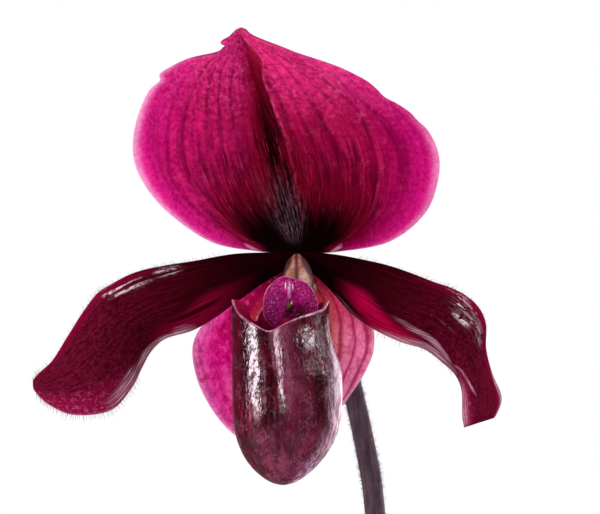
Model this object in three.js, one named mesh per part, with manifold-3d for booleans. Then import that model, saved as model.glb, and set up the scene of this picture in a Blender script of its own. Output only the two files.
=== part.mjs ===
// Potted slipper orchid: one bloom on a tall hairy scape, a fan of mottled leaves,
// and a plain clay pot filled with bark. Millimetres, +Z up, the bloom faces -Y.
// The origin is the centre of the pot's foot, on the surface that the pot stands on.

import * as THREE from 'three';
import { mergeVertices } from 'three/addons/utils/BufferGeometryUtils.js';
import Module from 'manifold-3d';

const wasm = await Module();
wasm.setup();

// Clearance between pieces that touch.
const GAP = 0.3;

// The pot: a tapered clay pot with a plain rolled rim band.
const POT_HEIGHT = 88;
const POT_FOOT_RADIUS = 36;
const POT_RIM_RADIUS = 52;
const POT_RIM_HEIGHT = 14;
const POT_RIM_STEP = 2.8;
const POT_RIM_FLARE = 2;
const POT_WALL = 4.6;
const POT_FLOOR = 6;
const POT_EDGE = 1.2;
const DRAIN_RADIUS = 4.5;
const DRAIN_CIRCLE = 19;
const DRAIN_COUNT = 3;
const POT_SIDES = 40;

// The bark mix: a flat fill with loose chips bedded in its top.
const BARK_LEVEL = 74;
const BARK_CHIPS = 32;
const CHIP_LENGTH = 15;
const CHIP_WIDTH = 10.5;
const CHIP_THICKNESS = 5;
const CHIP_SKEW = [0.75, 1.25];
const CHIP_SCALE = [0.65, 1.25];
const CHIP_NARROW = [0.7, 1.2];
const CHIP_TILT = [-0.45, 0.45];
const CHIP_LIFT = [0, 1.4];
const GOLDEN_TURN = 2.39996;
const CROWN_HOLE_RADIUS = 13.5;
const CROWN_HOLE_FLOOR = 56;

// The rootstock: a short stem with five roots, and the level that the leaves stand on.
const CROWN_LEVEL = 66;
const CROWN_RADIUS = 12.6;
const CROWN_BEVEL = 3;
const ROOT_RADIUS = 1.9;
const ROOT_TIP_SHARE = 0.7;
const ROOT_COUNT = 5;
const ROOT_FIRST_TURN = 0.5;
// A root's route: its distance from the stem's middle, and its height over the stem's foot.
const ROOT_ROUTE = [[5, 4], [11, -4], [21, -12], [27, -32]];

// The leaves, youngest first. Each sheath wraps the younger ones. Angles are in radians:
// rise and droop are the blade's slope where it leaves the sheath and at its tip.
const LEAF_THICKNESS = 1.2;
const LEAF_HALF_WIDTH = 19;
const LEAF_WIDEST = 0.42;
const LEAF_CURL = 0.42;
const LEAF_CURL_END = 0.3;
const LEAF_TIP_POWER = 2.3;
const LEAF_TIP_ROUND = 0.75;
const LEAF_TIP_LEAST = 0.035;
const LEAF_BEND = 30;
const LEAF_WAVE = 1.3;
const LEAF_WAVE_TURNS = 9;
const SHEATH_RADIUS = 3.7;
const SHEATH_STEP = 1.75;
const SHEATH_REACH = 15.5;
const SHEATH_WRAP = 1.85;
const SHEATH_UPRIGHT = 0.55;
const SHEATH_CLOSED = 0.7;
const FAN_TURN = 0.32;
const LEAVES = [
  { length: 104, sheath: 46, rise: 0.95, droop: 0.35, turn: 0.05 },
  { length: 122, sheath: 39, rise: 0.78, droop: 0.18, turn: -0.08 },
  { length: 138, sheath: 32, rise: 0.62, droop: 0.0, turn: 0.12 },
  { length: 144, sheath: 26, rise: 0.5, droop: -0.15, turn: -0.1 },
  { length: 140, sheath: 19, rise: 0.36, droop: -0.3, turn: -0.06 },
  { length: 132, sheath: 13, rise: 0.27, droop: -0.36, turn: 0.14 },
];

// The scape, from the crown up to the bloom's stalk.
const SCAPE_FOOT_RADIUS = 2.38;
const SCAPE_TOP_RADIUS = 2.2;
const SCAPE_PATH = [
  [0, 0, CROWN_LEVEL + GAP],
  [0, 0, 85],
  [0, 0.1, 104],
  [-1, 2.4, 170],
  [-3.6, 4, 230],
  [-6.8, 4, 269.3],
  [-8.7, 4, 281.7],
  [-11.9, 4, 296],
  [-13.2, 4.4, 300.6],
];

// The bloom's own centre, where its pieces meet. The rows below are measured from it.
const BLOOM = [-24, -20, 325];
const SEPAL_THICKNESS = 0.9;
const PETAL_THICKNESS = 1.0;
const LIP_THICKNESS = 0.9;

// Where across each half of a petal or sepal its swell is highest: higher powers move it out.
const SWELL_POWER = 0.7;

// Rows across the dorsal sepal, from its base to its tip: left edge, middle, right edge.
// The last number is how far each half swells forward between its edge and the crease.
const DORSAL_ROWS = [
  [[-1.5, 1.7, 0.5], [0, 1.7, 0.8], [1.5, 1.7, 0.5], 0],
  [[-9.2, 3, 1.1], [-0.2, 2.4, 3.2], [8.8, 3, 0.9], 0.4],
  [[-18.6, 4, 3.2], [-0.6, 4, 6.4], [19.5, 4, 3], 1.4],
  [[-28.3, 3.8, 9.9], [-1.7, 5.5, 11.2], [27.2, 3.8, 8.8], 1.8],
  [[-33.7, 3.8, 17], [-3, 6.3, 16.8], [30.2, 3.8, 15.7], 2],
  [[-35.2, 3.6, 23.6], [-4.5, 6.3, 22.4], [30.2, 3.6, 22.5], 2],
  [[-33.6, 3, 31.6], [-6.5, 5.3, 28.9], [26.5, 3, 28.9], 1.8],
  [[-29.6, 2, 38.3], [-8.4, 3.8, 35.2], [19.7, 2, 33.8], 1.4],
  [[-24, 0.5, 41.9], [-10.1, 2.3, 40.9], [10.8, 0.5, 39.6], 1],
  [[-17, -1, 43.1], [-11.1, 0.4, 44.9], [-0.4, -1, 43.3], 0.6],
  [[-14.9, -2, 45.9], [-11.7, -1.3, 47.1], [-8.7, -2, 46.3], 0.2],
  [[-12.5, -3, 48.2], [-11.9, -3, 48.4], [-11.2, -3, 48.2], 0],
];

// Rows across the left petal, from its base to its tip: upper edge, middle, lower edge, swell.
const LEFT_PETAL_ROWS = [
  [[-0.3, 0.3, 0.9], [-1.3, 0.3, -1], [-2.2, 0.3, -2.8], 0],
  [[-5.8, 0.3, 0.6], [-6.6, -1, -2.1], [-7.5, -0.5, -5.8], 0.2],
  [[-13.2, 0.3, 0.2], [-12.9, -3, -4.5], [-12.5, -1.5, -9.4], 0.5],
  [[-20.7, 0, -0.9], [-19, -5, -7], [-17.2, -3, -12.9], 0.8],
  [[-27.5, 0, -1.9], [-24.7, -6.5, -9.3], [-22.2, -4, -15.6], 1],
  [[-34, -0.5, -3.6], [-31, -8, -11.8], [-27.6, -5, -17.3], 1.2],
  [[-39.2, -1.5, -6], [-35.4, -9.5, -14.5], [-30.6, -5.5, -20], 1.4],
  [[-42.5, -2.5, -7.9], [-38.7, -10.5, -17.2], [-32.7, -6.5, -23.5], 1.4],
  [[-45.1, -4, -11.7], [-41.6, -11.5, -20.1], [-34.9, -9, -27.8], 1.2],
  [[-48, -6, -17], [-45, -12, -23], [-39, -12, -32.3], 0.8],
  [[-51.1, -8, -22], [-49.2, -11, -25.5], [-46.5, -13, -33.2], 0.5],
  [[-54.2, -9, -24.8], [-53.5, -10, -27], [-52, -12, -31], 0.2],
  [[-55.4, -9.5, -26.6], [-55.4, -10, -27.3], [-55.2, -10.3, -28.1], 0],
];

// Rows across the right petal, in the same order.
const RIGHT_PETAL_ROWS = [
  [[0.3, 0.3, 0.9], [1.3, 0.3, -1], [2.2, 0.3, -2.8], 0],
  [[6, 0.3, 0.4], [5.5, -1, -2.1], [4.9, -0.5, -4.9], 0.2],
  [[11.7, 0.3, -0.4], [10.4, -3, -4.7], [8.7, -1.5, -8.7], 0.5],
  [[17.7, 0, -1.9], [14.8, -5, -7], [11.7, -3, -12.1], 0.8],
  [[23.7, 0, -3.8], [19.8, -6.5, -9.9], [16.1, -4, -15.4], 1],
  [[28.8, -0.5, -5.5], [25.3, -8, -12.2], [21.7, -5, -17.9], 1.2],
  [[33.4, -1.5, -7.2], [30, -9.5, -14.3], [27.2, -6, -19.4], 1.3],
  [[37.4, -2.5, -10.2], [33.5, -10.5, -17.2], [31.6, -7, -22.9], 1.3],
  [[39.6, -4, -14], [35.8, -11.3, -20.5], [33.8, -8, -25.6], 1.2],
  [[39.9, -5, -19.5], [37, -11, -24.7], [34.9, -8.5, -28.7], 0.8],
  [[41.1, -6, -24.9], [38.1, -10.6, -28.6], [35, -9, -32.2], 0.5],
  [[42.8, -7, -29.9], [38.7, -11, -32], [34.9, -10, -34.5], 0.3],
  [[41.5, -8, -34.1], [38, -10, -35], [35, -10.5, -36], 0],
];

// Rows across the synsepal, from its base down to its tip: left edge, middle, right edge, swell.
const SYNSEPAL_ROWS = [
  [[-2.4, 1.7, -2.9], [0, 1.7, -3.4], [2.4, 1.7, -2.9], 0],
  [[-9, 2.4, -5.2], [-0.2, 2.6, -6.9], [8.6, 2.4, -5.2], 0],
  [[-16, 3, -10], [-0.7, 5.5, -11.2], [14.2, 3, -10], -0.3],
  [[-20.2, 3.5, -14.8], [-1.1, 7.5, -15.6], [16.4, 3.5, -15.5], -0.6],
  [[-22.3, 4, -19.3], [-1.5, 8.5, -20.3], [16.5, 4, -20.2], -0.8],
  [[-21.9, 4, -24.9], [-2, 8.5, -25.5], [14.8, 4, -24.3], -0.8],
  [[-20, 4, -30.1], [-2.2, 8, -30.7], [12.4, 4, -28.3], -0.8],
  [[-16.5, 4, -35.2], [-2.6, 7, -35.8], [9.2, 4, -33.1], -0.6],
  [[-12.2, 3.5, -39], [-2.8, 5.5, -40], [5.4, 3.5, -36.9], -0.3],
  [[-7.5, 3, -42], [-3, 4, -42.7], [1.1, 3, -40.7], 0],
  [[-3.6, 2.5, -43.4], [-3, 2.7, -43.7], [-2.4, 2.5, -43.4], 0],
];

// The pouch of the lip, from its toe up to its mouth.
const TOE = [-2.9, -12, -47.9];
const TOE_HEIGHT = 16;
const TOE_POWER = 0.6;
const POUCH_HALF_WIDTH = 11.5;
const POUCH_HALF_DEPTH = 10.5;
const BELLY_LEVEL = -26;
const MOUTH_LEVEL = -14;
const MOUTH_NARROWING = 0.1;
const BELLY_DRIFT = 0.9;
const MOUTH_DRIFT = [-1.4, 3.2];
const GROOVE_ANGLE = -12;
const GROOVE_SPREAD = 9;
const GROOVE_DEPTH = 1;
const GROOVE_RISE = 20;
const LIP_ROW_POWER = 1.7;

// The side lobes roll inwards between two pairs of angles, over the last share up to the rim.
const LOBE_START = [84, 104];
const LOBE_END = [136, 152];
const LOBE_ROLL = 0.24;
const LOBE_SHARE = 0.14;

// The claw at the back narrows to the bloom's middle between two angles, over this rise.
const CLAW_ANGLES = [125, 160];
const CLAW_RISE = 9;

// The height of the lip's rim round its mouth. Angles run from the front, the plant's
// right-hand side positive: the notch, the two ears, the rolled lobes and the claw.
const RIM = [
  [-180, -3.2], [-169, -5], [-158, -10], [-147, -13.4], [-128, -14], [-112, -12.2], [-99, -9.6],
  [-90, -9], [-79, -9.3], [-67, -11.2], [-50, -12.8], [-30, -14.3], [-13, -15.8], [8, -13.6],
  [28, -12.3], [50, -11.4], [63, -11], [73, -9.7], [84, -9.2], [96, -9.7], [110, -12],
  [127, -14], [147, -13.4], [158, -10], [169, -5], [180, -3.2],
];

// The column's rings, from the disc forward to the shield: centre, half width, half height.
const COLUMN_RINGS = [
  [[0, 2.3, -1.6], 1.1, 1.1],
  [[0, -0.3, -1.6], 1.1, 1.1],
  [[0, -0.9, -1.2], 1.1, 1.7],
  [[0, -2.2, -2.1], 2.3, 2.2],
  [[0.2, -4.2, -3.7], 3, 2.8],
  [[0.2, -6.8, -6], 3.3, 2.9],
  [[-0.6, -8.3, -7.2], 2.7, 2.5],
];
const ANTHER_RADIUS = 1.3;
const ANTHER_PLACES = [[-3, -5.6, -6.4], [2.9, -5.6, -6.8]];
const STIGMA_SIZE = [2.6, 2, 2.4];
const STIGMA_PLACE = [-0.2, -5.4, -8.2];

// The shield: its outline seen from the front, across and up, and its thickness.
const SHIELD_OUTLINE = [
  [-1.9, -4.3], [-0.2, -4.8], [1.3, -5.2], [2.7, -6.2], [3.8, -8], [4.4, -9.9], [4.3, -11.6],
  [3.4, -13.4], [1.9, -14.6], [0.5, -14.2], [-0.4, -13.2], [-1.6, -12.9], [-2.9, -13.2],
  [-3.8, -14.5], [-4.6, -15.1], [-5.9, -14.1], [-6.9, -12.8], [-7.1, -10.9], [-7, -8.9],
  [-6.3, -6.9], [-5, -5.5], [-3.4, -4.4],
];
const SHIELD_CENTRE = [-1.5, -9.4];
const SHIELD_BACK = -8.6;
const SHIELD_THICKNESS = 0.8;
const SHIELD_DOME = 1.3;
const SHIELD_DOME_POWER = 2.4;
const SHIELD_HOLLOW = 0.35;

// The ovary, from the bloom's disc back and down to the scape: centre and radius.
const OVARY_RINGS = [
  [[0, 2.7, -1.6], 3],
  [[0.1, 3.6, -1.6], 2.9],
  [[0.5, 6, -1.8], 2.3],
  [[2.2, 14, -3.4], 2.9],
  [[6, 21.8, -9], 3.1],
  [[9, 25, -16.5], 2.9],
  [[10.8, 24.4, -24.1], 2.3],
];
const OVARY_RIBS = 6;
const OVARY_RIB_DEPTH = 0.07;
const OVARY_RIB_START = 0.3;
const OVARY_RIB_END = 0.2;

// The bract: a short pointed sheath at the back of the ovary's foot.
const BRACT_PATH = [[11, 27.8, -25.8], [10.7, 29.5, -19], [9.8, 31.6, -10], [8.4, 32.6, -2]];
const BRACT_RADIUS = 3.3;
const BRACT_WRAP = 2.2;
const BRACT_HALF_WIDTH = 5.8;
const BRACT_CURL = 0.8;
const BRACT_OPEN = 0.5;
const BRACT_TIP_POWER = 2.2;
const BRACT_TIP_ROUND = 0.7;
const BRACT_TIP_LEAST = 0.06;
const BRACT_THICKNESS = 0.7;

// A smooth step from 0 to 1.
function ease(value) {
  return THREE.MathUtils.smoothstep(value, 0, 1);
}

function easeBetween(low, high, value) {
  return THREE.MathUtils.smoothstep(value, low, high);
}

// A seeded draw between two values.
function makeDraw(seed) {
  let state = seed;
  return ([low, high]) => {
    state = (state * 16807) % 2147483647;
    return THREE.MathUtils.lerp(low, high, state / 2147483647);
  };
}

function splineThrough(points) {
  const corners = points.map((point) => new THREE.Vector3(...point));
  return new THREE.CatmullRomCurve3(corners, false, 'catmullrom', 0.5);
}

function geometryFrom(points, faces) {
  const geometry = new THREE.BufferGeometry();
  const positions = new Float32Array(points.flatMap((point) => [point.x, point.y, point.z]));
  geometry.setAttribute('position', new THREE.BufferAttribute(positions, 3));
  geometry.setIndex(faces.flat());
  geometry.computeVertexNormals();
  return geometry;
}

// The direction square to a surface at one place, from its two slopes there.
function squareTo(surface, u, v) {
  const step = 0.004;
  const alongU = surface(Math.min(u + step, 1), v).sub(surface(Math.max(u - step, 0), v));
  const alongV = surface(u, Math.min(v + step, 1)).sub(surface(u, Math.max(v - step, 0)));
  return alongV.cross(alongU).normalize();
}

// A thin blade of even thickness about a surface. Both faces are split alike.
function blade(surface, along, across, thickness) {
  const columns = across + 1;
  const faceSize = (along + 1) * columns;
  const front = [];
  const back = [];
  for (let row = 0; row <= along; row += 1) {
    for (let column = 0; column <= across; column += 1) {
      const u = row / along;
      const v = column / across;
      const middle = surface(u, v);
      const half = squareTo(surface, u, v).multiplyScalar(thickness / 2);
      front.push(middle.clone().add(half));
      back.push(middle.clone().sub(half));
    }
  }
  const faces = [];
  for (let row = 0; row < along; row += 1) {
    for (let column = 0; column < across; column += 1) {
      const a = row * columns + column;
      const b = a + 1;
      const c = b + columns;
      const d = a + columns;
      faces.push([a, b, c], [a, c, d]);
      faces.push([faceSize + a, faceSize + c, faceSize + b], [faceSize + a, faceSize + d, faceSize + c]);
    }
  }
  const rim = [];
  for (let column = 0; column < across; column += 1) {
    rim.push(column);
  }
  for (let row = 0; row < along; row += 1) {
    rim.push(row * columns + across);
  }
  for (let column = across; column > 0; column -= 1) {
    rim.push(along * columns + column);
  }
  for (let row = along; row > 0; row -= 1) {
    rim.push(row * columns);
  }
  rim.forEach((from, order) => {
    const to = rim[(order + 1) % rim.length];
    faces.push([to, from, faceSize + from], [to, faceSize + from, faceSize + to]);
  });
  return geometryFrom([...front, ...back], faces);
}

// A closed body through a row of rings, with a fan of faces over each end.
function loft(rings) {
  const sides = rings[0].length;
  const points = rings.flat();
  const faces = [];
  for (let ring = 0; ring + 1 < rings.length; ring += 1) {
    for (let side = 0; side < sides; side += 1) {
      const a = ring * sides + side;
      const b = ring * sides + ((side + 1) % sides);
      faces.push([a, b, b + sides], [a, b + sides, a + sides]);
    }
  }
  const last = (rings.length - 1) * sides;
  const middleOf = (ring) => ring.reduce((sum, point) => sum.add(point), new THREE.Vector3());
  const startMiddle = points.push(middleOf(rings[0]).divideScalar(sides)) - 1;
  const endMiddle = points.push(middleOf(rings.at(-1)).divideScalar(sides)) - 1;
  for (let side = 0; side < sides; side += 1) {
    const next = (side + 1) % sides;
    faces.push([startMiddle, next, side], [endMiddle, last + side, last + next]);
  }
  return geometryFrom(points, faces);
}

// Rings square to a path. The radius and the ribs are given by a function of place and angle.
// Each ring starts on the same side as the one before, so the skin doesn't twist in a bend.
function ringsAlong(path, steps, sides, radiusAt) {
  const rings = [];
  const across = new THREE.Vector3(0, 1, 0).cross(path.getTangent(0));
  if (across.length() < 0.3) {
    across.set(1, 0, 0);
  }
  for (let step = 0; step <= steps; step += 1) {
    const t = step / steps;
    const centre = path.getPoint(t);
    const ahead = path.getTangent(t);
    across.addScaledVector(ahead, -across.dot(ahead)).normalize();
    const up = ahead.clone().cross(across);
    const ring = [];
    for (let side = 0; side < sides; side += 1) {
      const angle = (2 * Math.PI * side) / sides;
      const radius = radiusAt(t, angle);
      const point = centre.clone();
      point.addScaledVector(across, radius * Math.cos(angle));
      point.addScaledVector(up, radius * Math.sin(angle));
      ring.push(point);
    }
    rings.push(ring);
  }
  return rings;
}

// Solids for joining and cutting, and back to a geometry.
function solidOf(geometry) {
  const bare = geometry.clone();
  bare.deleteAttribute('normal');
  bare.deleteAttribute('uv');
  const merged = mergeVertices(bare, 1e-4);
  return new wasm.Manifold(new wasm.Mesh({
    numProp: 3,
    vertProperties: new Float32Array(merged.attributes.position.array),
    triVerts: new Uint32Array(merged.index.array),
  }));
}

function geometryOf(solid) {
  const mesh = solid.getMesh();
  const geometry = new THREE.BufferGeometry();
  geometry.setAttribute('position', new THREE.BufferAttribute(mesh.vertProperties, 3));
  geometry.setIndex(new THREE.BufferAttribute(mesh.triVerts, 1));
  geometry.computeVertexNormals();
  return geometry;
}

// The largest connected surface of a solid: small voids are filled and loose scraps dropped.
function largestBody(solid) {
  return solid.decompose().reduce((best, body) => (body.volume() > best.volume() ? body : best));
}

// A body turned round +Z from a profile of [radius, height] points.
function turned(profile, sides) {
  const points = profile.map(([radius, height]) => new THREE.Vector2(radius, height));
  return new THREE.LatheGeometry(points, sides).rotateX(Math.PI / 2);
}

function cylinderUp(radius, floor, top, sides) {
  const geometry = new THREE.CylinderGeometry(radius, radius, top - floor, sides);
  return geometry.rotateX(Math.PI / 2).translate(0, 0, (floor + top) / 2);
}

// The pot's wall, outside and inside, at a height.
const POT_BODY_TOP = POT_HEIGHT - POT_RIM_HEIGHT;
const POT_BODY_RADIUS = POT_RIM_RADIUS - POT_RIM_FLARE - POT_RIM_STEP;

function potOutside(height) {
  return POT_FOOT_RADIUS + ((POT_BODY_RADIUS - POT_FOOT_RADIUS) * height) / POT_BODY_TOP;
}

function potInside(height) {
  return potOutside(height) - POT_WALL;
}

function makePot() {
  const wall = turned([
    [0, 0],
    [POT_FOOT_RADIUS - POT_EDGE, 0],
    [POT_FOOT_RADIUS, POT_EDGE],
    [POT_BODY_RADIUS, POT_BODY_TOP],
    [POT_RIM_RADIUS - POT_RIM_FLARE - POT_EDGE, POT_BODY_TOP],
    [POT_RIM_RADIUS - POT_RIM_FLARE, POT_BODY_TOP + POT_EDGE],
    [POT_RIM_RADIUS, POT_HEIGHT - POT_EDGE],
    [POT_RIM_RADIUS - POT_EDGE, POT_HEIGHT],
    [potInside(POT_HEIGHT) + POT_EDGE, POT_HEIGHT],
    [potInside(POT_HEIGHT), POT_HEIGHT - POT_EDGE],
    [potInside(POT_FLOOR), POT_FLOOR],
    [0, POT_FLOOR],
  ], POT_SIDES);
  let pot = solidOf(wall);
  for (let hole = 0; hole < DRAIN_COUNT; hole += 1) {
    const angle = (2 * Math.PI * (hole + 0.5)) / DRAIN_COUNT;
    const drill = cylinderUp(DRAIN_RADIUS, -POT_FLOOR, 2 * POT_FLOOR, 16);
    drill.translate(DRAIN_CIRCLE * Math.cos(angle), DRAIN_CIRCLE * Math.sin(angle), 0);
    pot = pot.subtract(solidOf(drill));
  }
  return geometryOf(pot);
}

// The rootstock, or the hole that it needs when clearance is given.
function makeRootstock(clearance) {
  const radius = CROWN_RADIUS + clearance;
  let stock = solidOf(turned([
    [0, CROWN_HOLE_FLOOR + GAP - clearance],
    [radius - CROWN_BEVEL, CROWN_HOLE_FLOOR + GAP - clearance],
    [radius, CROWN_HOLE_FLOOR + GAP + CROWN_BEVEL - clearance],
    [radius, CROWN_LEVEL],
    [0, CROWN_LEVEL],
  ], 24));
  for (let root = 0; root < ROOT_COUNT; root += 1) {
    const angle = (2 * Math.PI * root) / ROOT_COUNT + ROOT_FIRST_TURN;
    const path = splineThrough(ROOT_ROUTE.map(([reach, rise], bend) => [
      reach * Math.cos(angle),
      reach * Math.sin(angle),
      CROWN_HOLE_FLOOR + rise - (bend === ROOT_ROUTE.length - 1 ? clearance : 0),
    ]));
    const radiusAt = (t) => THREE.MathUtils.lerp(ROOT_RADIUS, ROOT_RADIUS * ROOT_TIP_SHARE, t) + clearance;
    const rings = ringsAlong(path, 6, 6, radiusAt);
    stock = stock.add(solidOf(loft(rings)));
  }
  return stock;
}

function makeChip(draw) {
  const chip = new THREE.BoxGeometry(1, 1, 1);
  const merged = mergeVertices(chip.deleteAttribute('normal').deleteAttribute('uv'));
  const places = merged.attributes.position;
  for (let corner = 0; corner < places.count; corner += 1) {
    places.setXYZ(
      corner,
      places.getX(corner) * draw(CHIP_SKEW),
      places.getY(corner) * draw(CHIP_SKEW),
      places.getZ(corner) * draw(CHIP_SKEW),
    );
  }
  const size = draw(CHIP_SCALE);
  merged.scale(CHIP_LENGTH * size, CHIP_WIDTH * size * draw(CHIP_NARROW), CHIP_THICKNESS * size);
  merged.rotateX(draw(CHIP_TILT));
  merged.rotateY(draw(CHIP_TILT));
  merged.rotateZ(draw([0, 2 * Math.PI]));
  return merged;
}

function makeBarkMix() {
  const fill = turned([
    [0, POT_FLOOR + GAP],
    [potInside(POT_FLOOR) - GAP, POT_FLOOR + GAP],
    [potInside(BARK_LEVEL) - GAP, BARK_LEVEL],
    [0, BARK_LEVEL],
  ], POT_SIDES);
  let bark = solidOf(fill);
  const draw = makeDraw(41);
  const reach = potInside(BARK_LEVEL) - CHIP_THICKNESS / 2;
  for (let count = 0; count < BARK_CHIPS; count += 1) {
    const turn = count * GOLDEN_TURN;
    const share = (count + 0.5) / BARK_CHIPS;
    const radius = Math.sqrt(CROWN_HOLE_RADIUS ** 2 * (1 - share) + reach ** 2 * share);
    const chip = makeChip(draw);
    chip.translate(radius * Math.cos(turn), radius * Math.sin(turn), BARK_LEVEL + draw(CHIP_LIFT));
    bark = bark.add(solidOf(chip));
  }
  const room = turned([
    [0, 0],
    [potInside(0) - GAP, 0],
    [potInside(POT_HEIGHT) - GAP, POT_HEIGHT],
    [0, POT_HEIGHT],
  ], POT_SIDES);
  const crownHole = cylinderUp(CROWN_HOLE_RADIUS, CROWN_LEVEL - 1, POT_HEIGHT, 32);
  bark = bark.intersect(solidOf(room));
  bark = bark.subtract(solidOf(crownHole));
  bark = bark.subtract(makeRootstock(GAP));
  return geometryOf(largestBody(bark));
}

// One leaf: a sheath that stands upright, then a blade that leans out and arches over.
function leafSurface(leaf, order) {
  const radius = SHEATH_RADIUS + SHEATH_STEP * order;
  const wrap = Math.min(SHEATH_WRAP, SHEATH_REACH / radius);
  const keel = [];
  const steps = 24;
  const step = leaf.length / steps;
  const upright = leaf.sheath * SHEATH_UPRIGHT;
  const closed = leaf.sheath * SHEATH_CLOSED;
  let out = radius;
  let height = CROWN_LEVEL + GAP;
  for (let count = 0; count <= steps; count += 1) {
    keel.push([out, 0, height]);
    const travelled = (count + 0.5) * step - upright;
    const bend = ease(travelled / (leaf.sheath - upright + LEAF_BEND));
    const arch = ease(travelled / (leaf.length - upright));
    const tilt = Math.PI / 2 - (Math.PI / 2 - leaf.rise) * bend - (leaf.rise - leaf.droop) * arch;
    out += step * Math.cos(tilt);
    height += step * Math.sin(tilt);
  }
  const line = splineThrough(keel);
  const side = order % 2 === 0 ? 0 : Math.PI;
  const heading = side + FAN_TURN + leaf.turn;
  return (u, v) => {
    const across = 2 * v - 1;
    const share = Math.max(0, (u * leaf.length - closed) / (leaf.length - closed));
    const open = ease(share / LEAF_WIDEST);
    const fade = THREE.MathUtils.clamp((share - LEAF_WIDEST) / (1 - LEAF_WIDEST), 0, 1);
    const tip = Math.max(LEAF_TIP_LEAST, (1 - fade ** LEAF_TIP_POWER) ** LEAF_TIP_ROUND);
    const halfWidth = THREE.MathUtils.lerp(wrap * radius, LEAF_HALF_WIDTH, open) * tip;
    const curl = THREE.MathUtils.lerp(wrap, LEAF_CURL, ease(share / LEAF_CURL_END));
    const bow = halfWidth / curl;
    const ahead = line.getTangent(u);
    const inward = new THREE.Vector3(-ahead.z, 0, ahead.x);
    const point = line.getPoint(u);
    const ripple = Math.sin(LEAF_WAVE_TURNS * u + 4 * order + Math.sign(across));
    const wave = LEAF_WAVE * open * tip * across ** 2 * ripple;
    point.y += bow * Math.sin(curl * across);
    point.addScaledVector(inward, bow * (1 - Math.cos(curl * across)) + wave);
    return point.applyAxisAngle(new THREE.Vector3(0, 0, 1), heading);
  };
}

// A petal or sepal: rows of edge, middle, edge, joined by smooth curves along the blade.
function petalSurface(rows) {
  const lines = [0, 1, 2].map((side) => splineThrough(rows.map((row) => row[side])));
  const swellAt = (u) => {
    const along = u * (rows.length - 1);
    const row = Math.min(Math.floor(along), rows.length - 2);
    return THREE.MathUtils.lerp(rows[row][3], rows[row + 1][3], along - row);
  };
  return (u, v) => {
    const across = 2 * v - 1;
    const edge = lines[across < 0 ? 0 : 2].getPoint(u);
    const point = lines[1].getPoint(u).lerp(edge, Math.abs(across));
    point.y -= swellAt(u) * Math.sin(Math.PI * Math.abs(across) ** SWELL_POWER);
    return point;
  };
}

function rimHeight(angle) {
  const next = RIM.findIndex((stop) => stop[0] >= angle);
  if (next <= 0) {
    return RIM[0][1];
  }
  const [fromAngle, fromHeight] = RIM[next - 1];
  const [toAngle, toHeight] = RIM[next];
  return THREE.MathUtils.lerp(fromHeight, toHeight, ease((angle - fromAngle) / (toAngle - fromAngle)));
}

// The outside of the lip: an angle round it in degrees, and a share of the way from toe to rim.
function lipPoint(angle, share) {
  const height = TOE[2] + (rimHeight(angle) - TOE[2]) * share ** LIP_ROW_POWER;
  const risen = height - TOE[2];
  const bowl = Math.max(0, 1 - Math.max(0, 1 - risen / TOE_HEIGHT) ** 2) ** TOE_POWER;
  const mouth = easeBetween(BELLY_LEVEL, MOUTH_LEVEL, height);
  const belly = BELLY_DRIFT * ease(risen / TOE_HEIGHT);
  const backward = Math.min(1, risen / (MOUTH_LEVEL - TOE[2]));
  const around = THREE.MathUtils.degToRad(angle);
  const fromFront = Math.abs(angle);
  const groove = Math.exp(-(((angle - GROOVE_ANGLE) / GROOVE_SPREAD) ** 2)) * ease(risen / GROOVE_RISE);
  const lobe = easeBetween(...LOBE_START, fromFront) * (1 - easeBetween(...LOBE_END, fromFront));
  const roll = 1 - LOBE_ROLL * lobe * easeBetween(1 - LOBE_SHARE, 1, share);
  const narrow = 1 - MOUTH_NARROWING * mouth;
  const claw = easeBetween(...CLAW_ANGLES, fromFront) * ease((height - MOUTH_LEVEL) / CLAW_RISE);
  const width = POUCH_HALF_WIDTH * bowl * narrow * roll;
  const depth = POUCH_HALF_DEPTH * bowl * narrow;
  return new THREE.Vector3(
    (TOE[0] + belly + MOUTH_DRIFT[0] * mouth) * (1 - claw) + width * Math.sin(around),
    TOE[1] + MOUTH_DRIFT[1] * backward - (depth - GROOVE_DEPTH * groove) * Math.cos(around),
    height,
  );
}

// The lip: a hollow slipper, open at its mouth, with one pole at its toe.
function makeLip() {
  const sides = 32;
  const levels = 15;
  const outer = [new THREE.Vector3(...TOE)];
  const inner = [new THREE.Vector3(TOE[0], TOE[1], TOE[2] + LIP_THICKNESS)];
  for (let level = 1; level <= levels; level += 1) {
    for (let side = 0; side < sides; side += 1) {
      const angle = -180 + (360 * side) / sides;
      const share = level / levels;
      const point = lipPoint(angle, share);
      const around = lipPoint(angle + 1, share).sub(lipPoint(angle - 1, share));
      const upward = lipPoint(angle, Math.min(1, share + 0.01)).sub(lipPoint(angle, share - 0.01));
      const inward = upward.cross(around).normalize();
      outer.push(point);
      inner.push(point.clone().addScaledVector(inward, LIP_THICKNESS));
    }
  }
  const points = [...outer, ...inner];
  const offset = outer.length;
  const corner = (level, side) => 1 + (level - 1) * sides + (side % sides);
  const faces = [];
  for (let side = 0; side < sides; side += 1) {
    faces.push([0, corner(1, side + 1), corner(1, side)]);
    faces.push([offset, offset + corner(1, side), offset + corner(1, side + 1)]);
    for (let level = 1; level < levels; level += 1) {
      const a = corner(level, side);
      const b = corner(level, side + 1);
      const c = corner(level + 1, side + 1);
      const d = corner(level + 1, side);
      faces.push([a, b, c], [a, c, d]);
      faces.push([offset + a, offset + c, offset + b], [offset + a, offset + d, offset + c]);
    }
    const from = corner(levels, side);
    const to = corner(levels, side + 1);
    faces.push([from, to, offset + to], [from, offset + to, offset + from]);
  }
  return geometryFrom(points, faces);
}

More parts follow.
